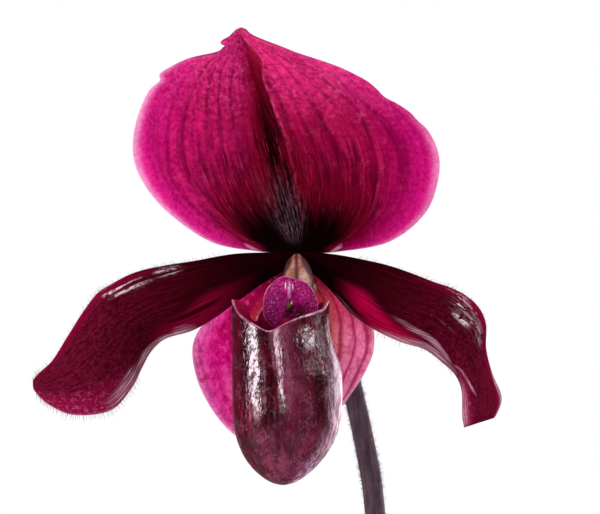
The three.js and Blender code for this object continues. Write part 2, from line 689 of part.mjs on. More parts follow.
// The column, with its two anthers and its stigma grown on.
function makeColumn() {
  const sides = 12;
  const rings = COLUMN_RINGS.map(([centre, halfWidth, halfHeight]) => {
    const ring = [];
    for (let side = 0; side < sides; side += 1) {
      const angle = (2 * Math.PI * side) / sides;
      ring.push(new THREE.Vector3(
        centre[0] + halfWidth * Math.cos(angle),
        centre[1],
        centre[2] + halfHeight * Math.sin(angle),
      ));
    }
    return ring;
  });
  let column = solidOf(loft(rings));
  ANTHER_PLACES.forEach((centre) => {
    column = column.add(solidOf(new THREE.SphereGeometry(ANTHER_RADIUS, 8, 6).translate(...centre)));
  });
  const stigma = new THREE.SphereGeometry(1, 10, 6).scale(...STIGMA_SIZE).translate(...STIGMA_PLACE);
  column = column.add(solidOf(stigma));
  return geometryOf(column);
}

// The shield: rings drawn in from its outline, domed in front and hollowed a little behind.
function makeShield() {
  const shares = [1, 0.8, 0.5, 0.2];
  const outline = new THREE.CatmullRomCurve3(
    SHIELD_OUTLINE.map(([across, up]) => new THREE.Vector3(across, 0, up)),
    true,
    'catmullrom',
    0.5,
  ).getPoints(30).slice(0, 30);
  const ringAt = (share, y) => outline.map((point) => new THREE.Vector3(
    SHIELD_CENTRE[0] + (point.x - SHIELD_CENTRE[0]) * share,
    y,
    SHIELD_CENTRE[1] + (point.z - SHIELD_CENTRE[1]) * share,
  ));
  const dome = (share) => SHIELD_DOME * (1 - share ** SHIELD_DOME_POWER);
  const inwards = [...shares].reverse();
  const front = inwards.map((share) => ringAt(share, SHIELD_BACK - SHIELD_THICKNESS - dome(share)));
  const back = shares.map((share) => ringAt(share, SHIELD_BACK - SHIELD_HOLLOW * dome(share)));
  return loft([...front, ...back]);
}

function makeOvary() {
  const path = splineThrough(OVARY_RINGS.map(([centre]) => centre));
  const radii = splineThrough(OVARY_RINGS.map(([, radius]) => [radius, 0, 0]));
  const rings = ringsAlong(path, 13, 12, (t, angle) => {
    const depth = OVARY_RIB_DEPTH * ease(t / OVARY_RIB_START) * ease((1 - t) / OVARY_RIB_END);
    return radii.getPoint(t).x * (1 + depth * Math.cos(OVARY_RIBS * angle));
  });
  return loft(rings.map((ring) => [...ring].reverse()).reverse());
}

function makeScape() {
  const radiusAt = (t) => THREE.MathUtils.lerp(SCAPE_FOOT_RADIUS, SCAPE_TOP_RADIUS, t);
  return loft(ringsAlong(splineThrough(SCAPE_PATH), 14, 10, radiusAt));
}

function bractSurface() {
  const line = splineThrough(BRACT_PATH);
  return (u, v) => {
    const across = 2 * v - 1;
    const open = ease(u / BRACT_OPEN);
    const tip = Math.max(BRACT_TIP_LEAST, (1 - Math.min(u, 1) ** BRACT_TIP_POWER) ** BRACT_TIP_ROUND);
    const halfWidth = THREE.MathUtils.lerp(BRACT_RADIUS * BRACT_WRAP, BRACT_HALF_WIDTH, open) * tip;
    const curl = THREE.MathUtils.lerp(BRACT_WRAP, BRACT_CURL, open);
    const bow = halfWidth / curl;
    const point = line.getPoint(u);
    point.x += bow * Math.sin(curl * across);
    point.y -= bow * (1 - Math.cos(curl * across));
    return point;
  };
}

// Colours and finishes.
const finishes = {
  clay: { color: 0xb5643f, roughness: 0.9 },
  bark: { color: 0x5a3b26, roughness: 0.95 },
  root: { color: 0x8d7a55, roughness: 0.9 },
  leaf: { color: 0x5e7d4a, roughness: 0.5 },
  scape: { color: 0x392a31, roughness: 0.7 },
  bract: { color: 0x66703e, roughness: 0.7 },
  ovary: { color: 0x4a2c3a, roughness: 0.7 },
  sepal: { color: 0xb0105c, roughness: 0.45 },
  synsepal: { color: 0xd04a86, roughness: 0.5 },
  petal: { color: 0x56051c, roughness: 0.35 },
  lip: { color: 0x4b0a22, roughness: 0.2 },
  column: { color: 0x997058, roughness: 0.5 },
  shield: { color: 0x8e2262, roughness: 0.45 },
};

const orchid = new THREE.Group();
const bloom = new THREE.Group();
bloom.position.set(...BLOOM);
orchid.add(bloom);

function place(name, geometry, finish, parent = orchid) {
  const material = new THREE.MeshStandardMaterial({ metalness: 0, ...finishes[finish] });
  const mesh = new THREE.Mesh(geometry, material);
  mesh.name = name;
  parent.add(mesh);
}

place('pot', makePot(), 'clay');
place('bark_mix', makeBarkMix(), 'bark');
place('rootstock', geometryOf(makeRootstock(0)), 'root');
LEAVES.forEach((leaf, order) => {
  place(`leaf_${order + 1}`, blade(leafSurface(leaf, order), 18, 6, LEAF_THICKNESS), 'leaf');
});
place('scape', makeScape(), 'scape');
place('ovary', makeOvary(), 'ovary', bloom);
place('bract', blade(bractSurface(), 8, 8, BRACT_THICKNESS), 'bract', bloom);
place('synsepal', blade(petalSurface(SYNSEPAL_ROWS), 16, 10, SEPAL_THICKNESS), 'synsepal', bloom);
place('dorsal_sepal', blade(petalSurface(DORSAL_ROWS), 22, 16, SEPAL_THICKNESS), 'sepal', bloom);
place('petal_left', blade(petalSurface(LEFT_PETAL_ROWS), 20, 10, PETAL_THICKNESS), 'petal', bloom);
place('petal_right', blade(petalSurface(RIGHT_PETAL_ROWS), 20, 10, PETAL_THICKNESS), 'petal', bloom);
place('lip', makeLip(), 'lip', bloom);
place('column', makeColumn(), 'column', bloom);
place('staminode', makeShield(), 'shield', bloom);

export default orchid;
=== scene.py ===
import math
import random

import bmesh
import bpy
import numpy as np
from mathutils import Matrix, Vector, noise


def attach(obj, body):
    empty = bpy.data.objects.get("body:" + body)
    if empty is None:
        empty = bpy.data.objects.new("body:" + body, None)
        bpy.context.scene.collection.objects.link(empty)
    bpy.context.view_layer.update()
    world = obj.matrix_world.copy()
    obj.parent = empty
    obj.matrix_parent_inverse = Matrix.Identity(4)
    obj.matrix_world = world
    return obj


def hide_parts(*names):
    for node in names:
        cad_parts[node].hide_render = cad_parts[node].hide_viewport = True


# A potted slipper orchid in bloom. Lengths are in millimetres times MM, because the scene is
# in metres. The bloom faces -Y, and the pot stands on the floor at the origin.
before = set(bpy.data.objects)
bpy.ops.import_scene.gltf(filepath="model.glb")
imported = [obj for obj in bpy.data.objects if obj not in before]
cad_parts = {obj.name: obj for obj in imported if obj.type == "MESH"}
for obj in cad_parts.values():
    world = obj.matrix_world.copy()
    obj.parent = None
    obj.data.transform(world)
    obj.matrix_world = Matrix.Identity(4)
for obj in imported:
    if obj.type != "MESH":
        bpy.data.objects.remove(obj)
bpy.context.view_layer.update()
MM = 0.001


# The pot: unglazed terracotta, thrown on a wheel, with a turned rim band and three drain
# holes cut through its foot. Lime from the water has bloomed on it near the foot and rim.
POT_HEIGHT = 88
POT_FOOT_RADIUS = 36
POT_RIM_RADIUS = 52
POT_RIM_HEIGHT = 14
POT_RIM_STEP = 2.8
POT_RIM_FLARE = 2
POT_WALL = 4.6
POT_FLOOR = 6
POT_EDGE = 1.2
POT_ROUNDING = 1.1
POT_SIDES = 120
POT_SHARP_TURN = 50
DRAIN_RADIUS = 4.5
DRAIN_CIRCLE = 19
DRAIN_COUNT = 3
DRAIN_SIDES = 32
LIME_ABOVE_FOOT = 30
LIME_AT_RIM = (70, 86)
POT_BODY_TOP = POT_HEIGHT - POT_RIM_HEIGHT
POT_BODY_RADIUS = POT_RIM_RADIUS - POT_RIM_FLARE - POT_RIM_STEP


def tint(code):
    """A linear colour from the hex code of how it looks."""
    shades = [int(code[place:place + 2], 16) / 255 for place in (0, 2, 4)]
    linear = [
        shade / 12.92 if shade <= 0.04045 else ((shade + 0.055) / 1.055) ** 2.4
        for shade in shades
    ]
    return (*linear, 1.0)


def add_piece(name, points, faces, layers=None):
    """A smooth mesh piece from points in metres. A layer holds one number for each point."""
    mesh = bpy.data.meshes.new(name)
    mesh.from_pydata([tuple(point) for point in points], [], faces)
    mesh.polygons.foreach_set("use_smooth", [True] * len(mesh.polygons))
    for layer, values in (layers or {}).items():
        kept = mesh.attributes.new(layer, "FLOAT", "POINT")
        kept.data.foreach_set("value", np.asarray(values, np.float32))
    piece = bpy.data.objects.new(name, mesh)
    bpy.context.scene.collection.objects.link(piece)
    return piece


def settle(piece, material, slot, *nodes):
    """Gives a piece its finish and its place on the plant. It stands for the CAD nodes named."""
    piece.data.materials.clear()
    piece.data.materials.append(material)
    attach(piece, "root")
    if nodes:
        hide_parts(*nodes)


def pot_outside(height):
    return POT_FOOT_RADIUS + (POT_BODY_RADIUS - POT_FOOT_RADIUS) * height / POT_BODY_TOP


def pot_inside(height):
    return pot_outside(height) - POT_WALL


def rounded(profile, reach, steps=5):
    """A profile with each of its inner corners drawn round."""
    drawn = [np.array(profile[0], float)]
    for before, corner, after in zip(profile, profile[1:], profile[2:]):
        corner = np.array(corner, float)
        ends = []
        for other in (before, after):
            side = np.array(other, float) - corner
            length = np.linalg.norm(side)
            ends.append(corner + side / length * min(reach, 0.45 * length))
        for t in np.linspace(0, 1, steps):
            drawn.append((1 - t) ** 2 * ends[0] + 2 * t * (1 - t) * corner + t ** 2 * ends[1])
    drawn.append(np.array(profile[-1], float))
    return drawn


def turned(profile, sides):
    """Points in millimetres and faces of a body turned round +Z. Both ends lie on the axis."""
    points = [(0.0, 0.0, profile[0][1])]
    for radius, height in profile[1:-1]:
        for side in range(sides):
            angle = 2 * math.pi * side / sides
            points.append((radius * math.cos(angle), radius * math.sin(angle), height))
    points.append((0.0, 0.0, profile[-1][1]))
    last = len(points) - 1
    faces = []
    for side in range(sides):
        after = (side + 1) % sides
        faces.append((0, 1 + after, 1 + side))
        faces.append((last, last - sides + side, last - sides + after))
        for ring in range(len(profile) - 3):
            low = 1 + ring * sides
            high = low + sides
            faces.append((low + side, low + after, high + after, high + side))
    return np.array(points), faces


def cut_away(piece, *cutters):
    """Cuts the cutters out of a piece, and removes them."""
    for cutter in cutters:
        cut = piece.modifiers.new("cut", "BOOLEAN")
        cut.operation = "DIFFERENCE"
        cut.object = cutter
        cut.solver = "EXACT"
    seen = bpy.context.evaluated_depsgraph_get()
    done = bpy.data.meshes.new_from_object(piece.evaluated_get(seen))
    piece.modifiers.clear()
    piece.data = done
    for cutter in cutters:
        bpy.data.objects.remove(cutter)


def new_finish(name):
    """A new material and its tree of nodes."""
    material = bpy.data.materials.new(name)
    material.use_nodes = True
    return material, material.node_tree


class Field:
    """A number, place or colour that a finish works out at each point of a surface."""

    def __init__(self, socket):
        self.socket = socket
        self.tree = socket.id_data

    def maths(self, operation, *values):
        return node(self.tree, "ShaderNodeMath", dict(enumerate(values)), operation=operation)[0]

    def __add__(self, other):
        return self.maths("ADD", self, other)

    def __sub__(self, other):
        return self.maths("SUBTRACT", self, other)

    def __rsub__(self, other):
        return self.maths("SUBTRACT", other, self)

    def __mul__(self, other):
        return self.maths("MULTIPLY", self, other)

    def __truediv__(self, other):
        return self.maths("DIVIDE", self, other)

    def __rtruediv__(self, other):
        return self.maths("DIVIDE", other, self)

    def __abs__(self):
        return self.maths("ABSOLUTE", self)

    def larger(self, other):
        return self.maths("MAXIMUM", self, other)

    def root(self):
        return self.maths("SQRT", self)

    def pingpong(self, top):
        return self.maths("PINGPONG", self, top)

    def rise(self, low, high, start=0.0, end=1.0):
        """A smooth step from start, where this is low, to end, where this is high."""
        sockets = {"Value": self, "From Min": low, "From Max": high, "To Min": start, "To Max": end}
        return node(self.tree, "ShaderNodeMapRange", sockets, interpolation_type="SMOOTHSTEP")[0]

    def between(self, first, second):
        """Two colours mixed: the first where this is 0, the second where this is 1."""
        return blend(self.tree, self, first, second)

    def wash(self, colour, share):
        """This colour with another one laid over it, by a share."""
        return blend(self.tree, share, self, colour)

    def cloud(self, size, detail=2.0, roughness=0.5):
        """Soft random patches over this place, of about one size in millimetres."""
        sockets = {"Vector": self, "Scale": 1 / (size * MM), "Detail": detail, "Roughness": roughness}
        return node(self.tree, "ShaderNodeTexNoise", sockets)[0]

    def stretched(self, by):
        """This place with each of its three axes scaled."""
        return node(self.tree, "ShaderNodeVectorMath", {0: self, 1: by}, operation="MULTIPLY")[0]

    def part(self, axis):
        """This place along one of its axes."""
        return node(self.tree, "ShaderNodeSeparateXYZ", {0: self})[axis]

    def relief(self, depth, under=None, strength=1.0):
        """Raises the surface by this height of 0 to 1, times a depth in millimetres."""
        sockets = {"Strength": strength, "Distance": depth * MM, "Height": self}
        if under is not None:
            sockets["Normal"] = under
        return node(self.tree, "ShaderNodeBump", sockets)[0]


def join(tree, value, entry):
    """Links a field to a node's socket, or sets the socket to a plain value."""
    if isinstance(value, Field):
        tree.links.new(value.socket, entry)
    else:
        entry.default_value = value


def fields_of(sockets):
    """Sockets as fields, by number and by name."""
    fields = [Field(socket) for socket in sockets]
    return dict(enumerate(fields)) | {field.socket.name: field for field in fields}


def node(tree, kind, sockets=None, **settings):
    """A node's outputs as fields. Each of its sockets takes a field or a plain value."""
    made = tree.nodes.new(kind)
    for setting, value in settings.items():
        setattr(made, setting, value)
    for name, value in (sockets or {}).items():
        join(tree, value, made.inputs[name])
    return fields_of(made.outputs)


def blend(tree, share, first, second):
    """Two colours mixed: the first where the share is 0. A colour may be given by its hex code."""
    first, second = [tint(colour) if isinstance(colour, str) else colour for colour in (first, second)]
    return node(tree, "ShaderNodeMix", {0: share, 6: first, 7: second}, data_type="RGBA")[2]


def place_of(tree):
    """The place on the plant, in metres."""
    return node(tree, "ShaderNodeTexCoord")["Object"]


def layer_of(tree, name):
    """A number that each point of the piece holds."""
    return node(tree, "ShaderNodeAttribute", attribute_name=name)["Fac"]


def shade(tree, colour, roughness, normal=None, glow=0.0, **others):
    """Joins colour, roughness and relief to the shader. Glow is the share of light let through."""
    shader = tree.nodes["Principled BSDF"]
    joined = {"Base Color": colour, "Roughness": roughness}
    if normal is not None:
        joined["Normal"] = normal
    joined.update({name.replace("_", " "): value for name, value in others.items()})
    for name, value in joined.items():
        join(tree, value, shader.inputs[name])
    if glow:
        through = node(tree, "ShaderNodeBsdfTranslucent", {"Color": colour})[0]
        both = node(tree, "ShaderNodeMixShader", {0: glow, 1: Field(shader.outputs[0]), 2: through})[0]
        join(tree, both, tree.nodes["Material Output"].inputs["Surface"])


pot_points, pot_faces = turned(rounded([
    [0, 0],
    [POT_FOOT_RADIUS - POT_EDGE, 0],
    [POT_FOOT_RADIUS, POT_EDGE],
    [POT_BODY_RADIUS, POT_BODY_TOP],
    [POT_RIM_RADIUS - POT_RIM_FLARE - POT_EDGE, POT_BODY_TOP],
    [POT_RIM_RADIUS - POT_RIM_FLARE, POT_BODY_TOP + POT_EDGE],
    [POT_RIM_RADIUS, POT_HEIGHT - POT_EDGE],
    [POT_RIM_RADIUS - POT_EDGE, POT_HEIGHT],
    [pot_inside(POT_HEIGHT) + POT_EDGE, POT_HEIGHT],
    [pot_inside(POT_HEIGHT), POT_HEIGHT - POT_EDGE],
    [pot_inside(POT_FLOOR), POT_FLOOR],
    [0, POT_FLOOR],
], POT_ROUNDING), POT_SIDES)
pot = add_piece("pot_clay", pot_points * MM, pot_faces)
drills = []
for hole in range(DRAIN_COUNT):
    hole_turn = 2 * math.pi * (hole + 0.5) / DRAIN_COUNT
    drill_points, drill_faces = turned([
        [0, -POT_FLOOR],
        [DRAIN_RADIUS, -POT_FLOOR],
        [DRAIN_RADIUS, 2 * POT_FLOOR],
        [0, 2 * POT_FLOOR],
    ], DRAIN_SIDES)
    drill_points += [DRAIN_CIRCLE * math.cos(hole_turn), DRAIN_CIRCLE * math.sin(hole_turn), 0]
    drills.append(add_piece(f"drill_{hole}", drill_points * MM, drill_faces))
cut_away(pot, *drills)
pot.data.set_sharp_from_angle(angle=math.radians(POT_SHARP_TURN))

terracotta, tree = new_finish("terracotta")
place = place_of(tree)
height = place.part("Z")
clay = place.cloud(22, 4).between("a9583a", "c27a54")
clay = clay.wash("8a4630", place.cloud(1.3, 3) * 0.35)
near_rim = height.rise(LIME_AT_RIM[0] * MM, LIME_AT_RIM[1] * MM, 0.0, 0.7)
lime = height.rise(LIME_ABOVE_FOOT * MM, 0.0).larger(near_rim) * place.cloud(9, 6, 0.65)
clay = clay.wash("dcc3ae", lime.rise(0.25, 0.62, 0.0, 0.6))
turning = place.stretched((0.05, 0.05, 1.0)).cloud(1.1, 2)
surface = turning.relief(0.25, strength=0.5)
surface = place.cloud(0.7, 3).relief(0.12, surface, 0.6)
shade(tree, clay, lime.rise(0.2, 0.6, 0.82, 0.96), surface)
settle(pot, terracotta, "clay", "pot")


# The bark mix: fir bark in chips, tipped in loose round the stem and pressed flat by hand.
# The large chips lie on a bed of finer ones.
BARK_LEVEL = 74
BARK_BED_LEVEL = BARK_LEVEL - 0.8
BARK_BED_SIDES = 96
BARK_CHIPS = 32
CHIP_LENGTH = 15
CHIP_WIDTH = 10.5
CHIP_THICKNESS = 5
CHIP_SKEW = (0.75, 1.25)
CHIP_SCALE = (0.65, 1.25)
CHIP_NARROW = (0.7, 1.2)
CHIP_TILT = (-0.45, 0.45)
CHIP_LIFT = (0, 1.4)
CHIP_CUTS = 7
CHIP_WEAR = 0.16
CHIP_SEED = 41
CRUMB_COUNT = 150
CRUMB_SCALE = (0.16, 0.42)
CRUMB_SINK = (-1.2, 0.8)
GOLDEN_TURN = 2.39996
GAP = 0.3
CROWN_HOLE_RADIUS = 13.5
CROWN_HOLE_DEPTH = 10


def make_draw(seed):
    """A seeded draw between two values."""
    state = [seed]

    def draw(span):
        state[0] = state[0] * 16807 % 2147483647
        return span[0] + (span[1] - span[0]) * state[0] / 2147483647

    return draw


def unit_block(cuts):
    """The points and faces of a block one unit wide, cut into a fine grid."""
    block = bmesh.new()
    bmesh.ops.create_cube(block, size=1)
    bmesh.ops.subdivide_edges(block, edges=block.edges, cuts=cuts, use_grid_fill=True)
    block.verts.index_update()
    points = np.array([vert.co for vert in block.verts])
    faces = [[vert.index for vert in face.verts] for face in block.faces]
    block.free()
    return points, faces


def chip_shape(block, draw, scale):
    """One chip: a skewed block with worn edges and a split, fibrous face, in millimetres."""
    skews = {}
    for x in (-1, 1):
        for y in (-1, 1):
            for z in (-1, 1):
                skews[x, y, z] = [draw(CHIP_SKEW), draw(CHIP_SKEW), draw(CHIP_SKEW)]
    worn = block * (1 - CHIP_WEAR * (np.sum((2 * block) ** 4, axis=1, keepdims=True) - 1) / 2)
    skewed = np.zeros_like(worn)
    for corner, skew in skews.items():
        share = np.prod(0.5 + worn * np.array(corner), axis=1, keepdims=True)
        skewed += share * worn * np.array(skew)
    size = draw(scale)
    lengths = np.array([CHIP_LENGTH, CHIP_WIDTH * draw(CHIP_NARROW), CHIP_THICKNESS]) * size
    shaped = skewed * lengths
    offset = 100 * size
    for row in shaped:
        fibre = noise.noise(Vector((row[0] * 0.12 + offset, row[1] * 0.9, row[2] * 0.9)))
        lump = noise.noise(Vector((row[0] * 0.35, row[1] * 0.35 + offset, row[2] * 0.5)))
        row[2] += 0.35 * fibre + 0.6 * lump
        row[1] += 0.25 * fibre
    fibres = shaped.copy()
    for axis in ("X", "Y", "Z"):
        angle = draw(CHIP_TILT if axis != "Z" else (0, 2 * math.pi))
        shaped = turn_about(shaped, axis, angle)
    return shaped, fibres


def turn_about(points, axis, angle):
    """Points turned about one of the axes by an angle in radians."""
    c, s = math.cos(angle), math.sin(angle)
    turns = {
        "X": [[1, 0, 0], [0, c, -s], [0, s, c]],
        "Y": [[c, 0, s], [0, 1, 0], [-s, 0, c]],
        "Z": [[c, -s, 0], [s, c, 0], [0, 0, 1]],
    }
    return points @ np.array(turns[axis]).T


bark_points, bark_faces = turned([
    [0, POT_FLOOR + GAP],
    [pot_inside(POT_FLOOR) - GAP, POT_FLOOR + GAP],
    *[[pot_inside(BARK_LEVEL) - GAP - step, BARK_BED_LEVEL] for step in range(0, 28, 2)],
    [CROWN_HOLE_RADIUS, BARK_BED_LEVEL],
    [CROWN_HOLE_RADIUS, BARK_LEVEL - CROWN_HOLE_DEPTH],
    [0, BARK_LEVEL - CROWN_HOLE_DEPTH],
], BARK_BED_SIDES)
for point in bark_points:
    if point[2] > BARK_LEVEL - 1:
        point[2] += 0.9 * noise.noise(Vector(point * 0.35))
fibre_points = [bark_points]
shade_values = [np.full(len(bark_points), 0.15)]
all_points = [bark_points]
all_faces = list(bark_faces)
chip_draw = make_draw(CHIP_SEED)
block_points, block_faces = unit_block(CHIP_CUTS)
reach = pot_inside(BARK_LEVEL) - CHIP_THICKNESS / 2
for count in range(BARK_CHIPS + CRUMB_COUNT):
    large = count < BARK_CHIPS
    chip, fibres = chip_shape(block_points, chip_draw, CHIP_SCALE if large else CRUMB_SCALE)
    share = (count + 0.5) / BARK_CHIPS if large else (count - BARK_CHIPS + 0.5) / CRUMB_COUNT
    radius = math.sqrt(CROWN_HOLE_RADIUS ** 2 * (1 - share) + reach ** 2 * share)
    turn = count * GOLDEN_TURN
    level = BARK_LEVEL + chip_draw(CHIP_LIFT if large else CRUMB_SINK)
    chip += [radius * math.cos(turn), radius * math.sin(turn), level]
    start = sum(len(part) for part in all_points)
    all_points.append(chip)
    fibre_points.append(fibres + [37 * count, 0, 0])
    shade_values.append(np.full(len(chip), (count * 0.618) % 1))
    all_faces.extend([start + corner for corner in face] for face in block_faces)
bark = np.concatenate(all_points)
from_axis = np.maximum(np.hypot(bark[:, 0], bark[:, 1]), 1e-6)
room = pot_inside(0) - GAP + (pot_inside(POT_HEIGHT) - pot_inside(0)) * bark[:, 2] / POT_HEIGHT
inwards = np.minimum(1, room / from_axis)
outwards = np.where(bark[:, 2] > BARK_LEVEL - 8, np.maximum(1, CROWN_HOLE_RADIUS / from_axis), 1)
bark[:, :2] *= (inwards * outwards)[:, None]
fibre_places = np.concatenate(fibre_points)
bark_piece = add_piece("bark_chips", bark * MM, all_faces, {
    "fibre_x": fibre_places[:, 0] * MM,
    "fibre_y": fibre_places[:, 1] * MM,
    "fibre_z": fibre_places[:, 2] * MM,
    "shade": np.concatenate(shade_values),
})

bark_finish, tree = new_finish("fir_bark")
fibre = node(
    tree, "ShaderNodeCombineXYZ",
    {0: layer_of(tree, "fibre_x"), 1: layer_of(tree, "fibre_y"), 2: layer_of(tree, "fibre_z")}
)[0]
streaks = fibre.stretched((0.16, 1.0, 1.0)).cloud(0.9, 4, 0.6)
layers = fibre.stretched((0.3, 0.3, 1.6)).cloud(1.6, 3)
wood = layer_of(tree, "shade").between("4a2d1c", "8a5c3a")
wood = wood.wash("2c1a12", streaks.rise(0.35, 0.7))
wood = wood.wash("a5744c", layers.rise(0.52, 0.7, 0.0, 0.55))
wood = wood.wash("6b4730", fibre.cloud(0.5, 3).rise(0.55, 0.8, 0.0, 0.5))
surface = streaks.relief(0.5, strength=0.8)
surface = fibre.cloud(0.5, 3).relief(0.15, surface, 0.6)
shade(tree, wood, 0.88, surface)
settle(bark_piece, bark_finish, "bark", "bark_mix")


# The rootstock: the plant's short woody stem and its five roots, down in the bark. It is
# grown, not made, and only its top shows between the leaves.
root_finish, tree = new_finish("root_skin")
place = place_of(tree)
skin = place.cloud(4, 4).between("7a6a48", "a6946a")
skin = skin.wash("4a3a26", place.cloud(0.6, 3).rise(0.5, 0.8, 0.0, 0.7))
shade(tree, skin, 0.9, place.cloud(0.8, 4).relief(0.3, strength=0.7))
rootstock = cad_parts["rootstock"]
rootstock.data.materials.clear()
rootstock.data.materials.append(root_finish)


# The leaves: six in a fan, the youngest in the middle, each sheath round the younger ones.
# They are leathery, mottled dark on light green above, and flushed with purple dots below.
CROWN_LEVEL = 66
LEAF_THICKNESS = 1.2
LEAF_HALF_WIDTH = 19
LEAF_WIDEST = 0.42
LEAF_CURL = 0.42
LEAF_CURL_END = 0.3
LEAF_TIP_POWER = 2.3
LEAF_TIP_ROUND = 0.75
LEAF_TIP_LEAST = 0.035
LEAF_BEND = 30
LEAF_WAVE = 1.3
LEAF_WAVE_TURNS = 9
SHEATH_RADIUS = 3.7
SHEATH_STEP = 1.75
SHEATH_REACH = 15.5
SHEATH_WRAP = 1.85
SHEATH_UPRIGHT = 0.55
SHEATH_CLOSED = 0.7
FAN_TURN = 0.32
LEAVES = [
    {"length": 104, "sheath": 46, "rise": 0.95, "droop": 0.35, "turn": 0.05},
    {"length": 122, "sheath": 39, "rise": 0.78, "droop": 0.18, "turn": -0.08},
    {"length": 138, "sheath": 32, "rise": 0.62, "droop": 0.0, "turn": 0.12},
    {"length": 144, "sheath": 26, "rise": 0.5, "droop": -0.15, "turn": -0.1},
    {"length": 140, "sheath": 19, "rise": 0.36, "droop": -0.3, "turn": -0.06},
    {"length": 132, "sheath": 13, "rise": 0.27, "droop": -0.36, "turn": 0.14},
]
LEAF_GROOVE = 0.5
LEAF_GRID = (90, 28)
BLADE_RIM = 0.035
BLADE_TIP = 0.02
BLADE_LEAST = 0.03


def ease(value):
    """A smooth step from 0 to 1."""
    held = np.clip(value, 0, 1)
    return held * held * (3 - 2 * held)


def ease_between(low, high, value):
    return ease((value - low) / (high - low))


def curve_through(corners):
    """A smooth curve through points. It takes shares of the way, and gives points."""
    corners = np.array(corners, float)
    before = 2 * corners[0] - corners[1]
    after = 2 * corners[-1] - corners[-2]
    held = np.vstack([before, corners, after])

    def at(t):
        t = np.atleast_1d(np.asarray(t, float)) * (len(corners) - 1)
        span = np.clip(np.floor(t).astype(int), 0, len(corners) - 2)
        w = (t - span)[:, None]
        p0, p1, p2, p3 = held[span], held[span + 1], held[span + 2], held[span + 3]
        slope1 = 0.5 * (p2 - p0)
        slope2 = 0.5 * (p3 - p1)
        bend = 3 * (p2 - p1) - 2 * slope1 - slope2
        return p1 + slope1 * w + bend * w ** 2 + (2 * (p1 - p2) + slope1 + slope2) * w ** 3

    return at


def unit(vectors):
    return vectors / np.maximum(np.linalg.norm(vectors, axis=1, keepdims=True), 1e-12)


def square_to(surface, u, v):
    """The direction square to a surface at each place on it."""
    step = 0.004
    along_u = surface(np.minimum(u + step, 1), v) - surface(np.maximum(u - step, 0), v)
    along_v = surface(u, np.minimum(v + step, 1)) - surface(u, np.maximum(v - step, 0))
    return unit(np.cross(along_v, along_u))


def blade(name, surface, along, across, thickness, waves=None, facing=1, origin=(0, 0, 0)):
    """A thin blade about a surface in millimetres, with a soft rim. Waves move both faces alike.

    It keeps how far along and across the blade each point is, and which face it is on: the
    back is 0 on the face that shows and 1 on the other one."""
    columns = across + 1
    u_steps = np.linspace(0, 1, along + 1)
    v_steps = 0.5 - 0.5 * np.cos(np.pi * np.linspace(0, 1, columns))
    u = np.repeat(u_steps, columns)
    v = np.tile(v_steps, along + 1)
    middle = surface(u, v)
    square = square_to(surface, u, v)
    if waves is not None:
        middle = middle + square * waves(u, v)[:, None]
    rim = np.clip((1 - np.abs(2 * v - 1)) / BLADE_RIM, 0, 1)
    rim = np.minimum(rim, np.clip((1 - u) / BLADE_TIP, 0, 1))
    half = thickness / 2 * np.sqrt(np.clip(1 - (1 - rim) ** 2, BLADE_LEAST, 1))[:, None]
    points = np.vstack([middle + square * half, middle - square * half]) + np.array(origin)
    size = len(u)
    faces = []
    for row in range(along):
        for column in range(across):
            a = row * columns + column
            d = a + columns
            faces.append((a, a + 1, d + 1, d))
            faces.append((size + a, size + d, size + d + 1, size + a + 1))
    edge = list(range(across))
    edge += [row * columns + across for row in range(along)]
    edge += [along * columns + column for column in range(across, 0, -1)]
    edge += [row * columns for row in range(along, 0, -1)]
    for start, end in zip(edge, edge[1:] + edge[:1]):
        faces.append((end, start, size + start, size + end))
    backs = np.repeat([0.0, 1.0] if facing > 0 else [1.0, 0.0], size)
    return add_piece(name, points * MM, faces, {
        "along": np.tile(u, 2),
        "across": np.tile(2 * v - 1, 2),
        "back": backs,
    })


def leaf_surface(leaf, order):
    """One leaf: a sheath that stands upright, then a blade that leans out and arches over."""
    radius = SHEATH_RADIUS + SHEATH_STEP * order
    wrap = min(SHEATH_WRAP, SHEATH_REACH / radius)
    steps = 24
    step = leaf["length"] / steps
    upright = leaf["sheath"] * SHEATH_UPRIGHT
    closed = leaf["sheath"] * SHEATH_CLOSED
    out, height = radius, CROWN_LEVEL + GAP
    keel = []
    for count in range(steps + 1):
        keel.append([out, 0, height])
        travelled = (count + 0.5) * step - upright
        bend = float(ease(travelled / (leaf["sheath"] - upright + LEAF_BEND)))
        arch = float(ease(travelled / (leaf["length"] - upright)))
        quarter = math.pi / 2
        tilt = quarter - (quarter - leaf["rise"]) * bend - (leaf["rise"] - leaf["droop"]) * arch
        out += step * math.cos(tilt)
        height += step * math.sin(tilt)
    line = curve_through(keel)
    heading = (order % 2) * math.pi + FAN_TURN + leaf["turn"]

    def at(u, v):
        across = 2 * v - 1
        share = np.maximum(0, (u * leaf["length"] - closed) / (leaf["length"] - closed))
        opened = ease(share / LEAF_WIDEST)
        fade = np.clip((share - LEAF_WIDEST) / (1 - LEAF_WIDEST), 0, 1)
        tip = np.maximum(LEAF_TIP_LEAST, (1 - fade ** LEAF_TIP_POWER) ** LEAF_TIP_ROUND)
        half_width = (wrap * radius + (LEAF_HALF_WIDTH - wrap * radius) * opened) * tip
        curl = wrap + (LEAF_CURL - wrap) * ease(share / LEAF_CURL_END)
        bow = half_width / curl
        ahead = unit(line(np.minimum(u + 1e-4, 1)) - line(np.maximum(u - 1e-4, 0)))
        inward = np.stack([-ahead[:, 2], 0 * u, ahead[:, 0]], axis=1)
        ripple = np.sin(LEAF_WAVE_TURNS * u + 4 * order + np.sign(across))
        wave = LEAF_WAVE * opened * tip * across ** 2 * ripple
        point = line(u)
        point[:, 1] += bow * np.sin(curl * across)
        point += inward * (bow * (1 - np.cos(curl * across)) + wave)[:, None]
        return turn_about(point, "Z", heading)

    return at


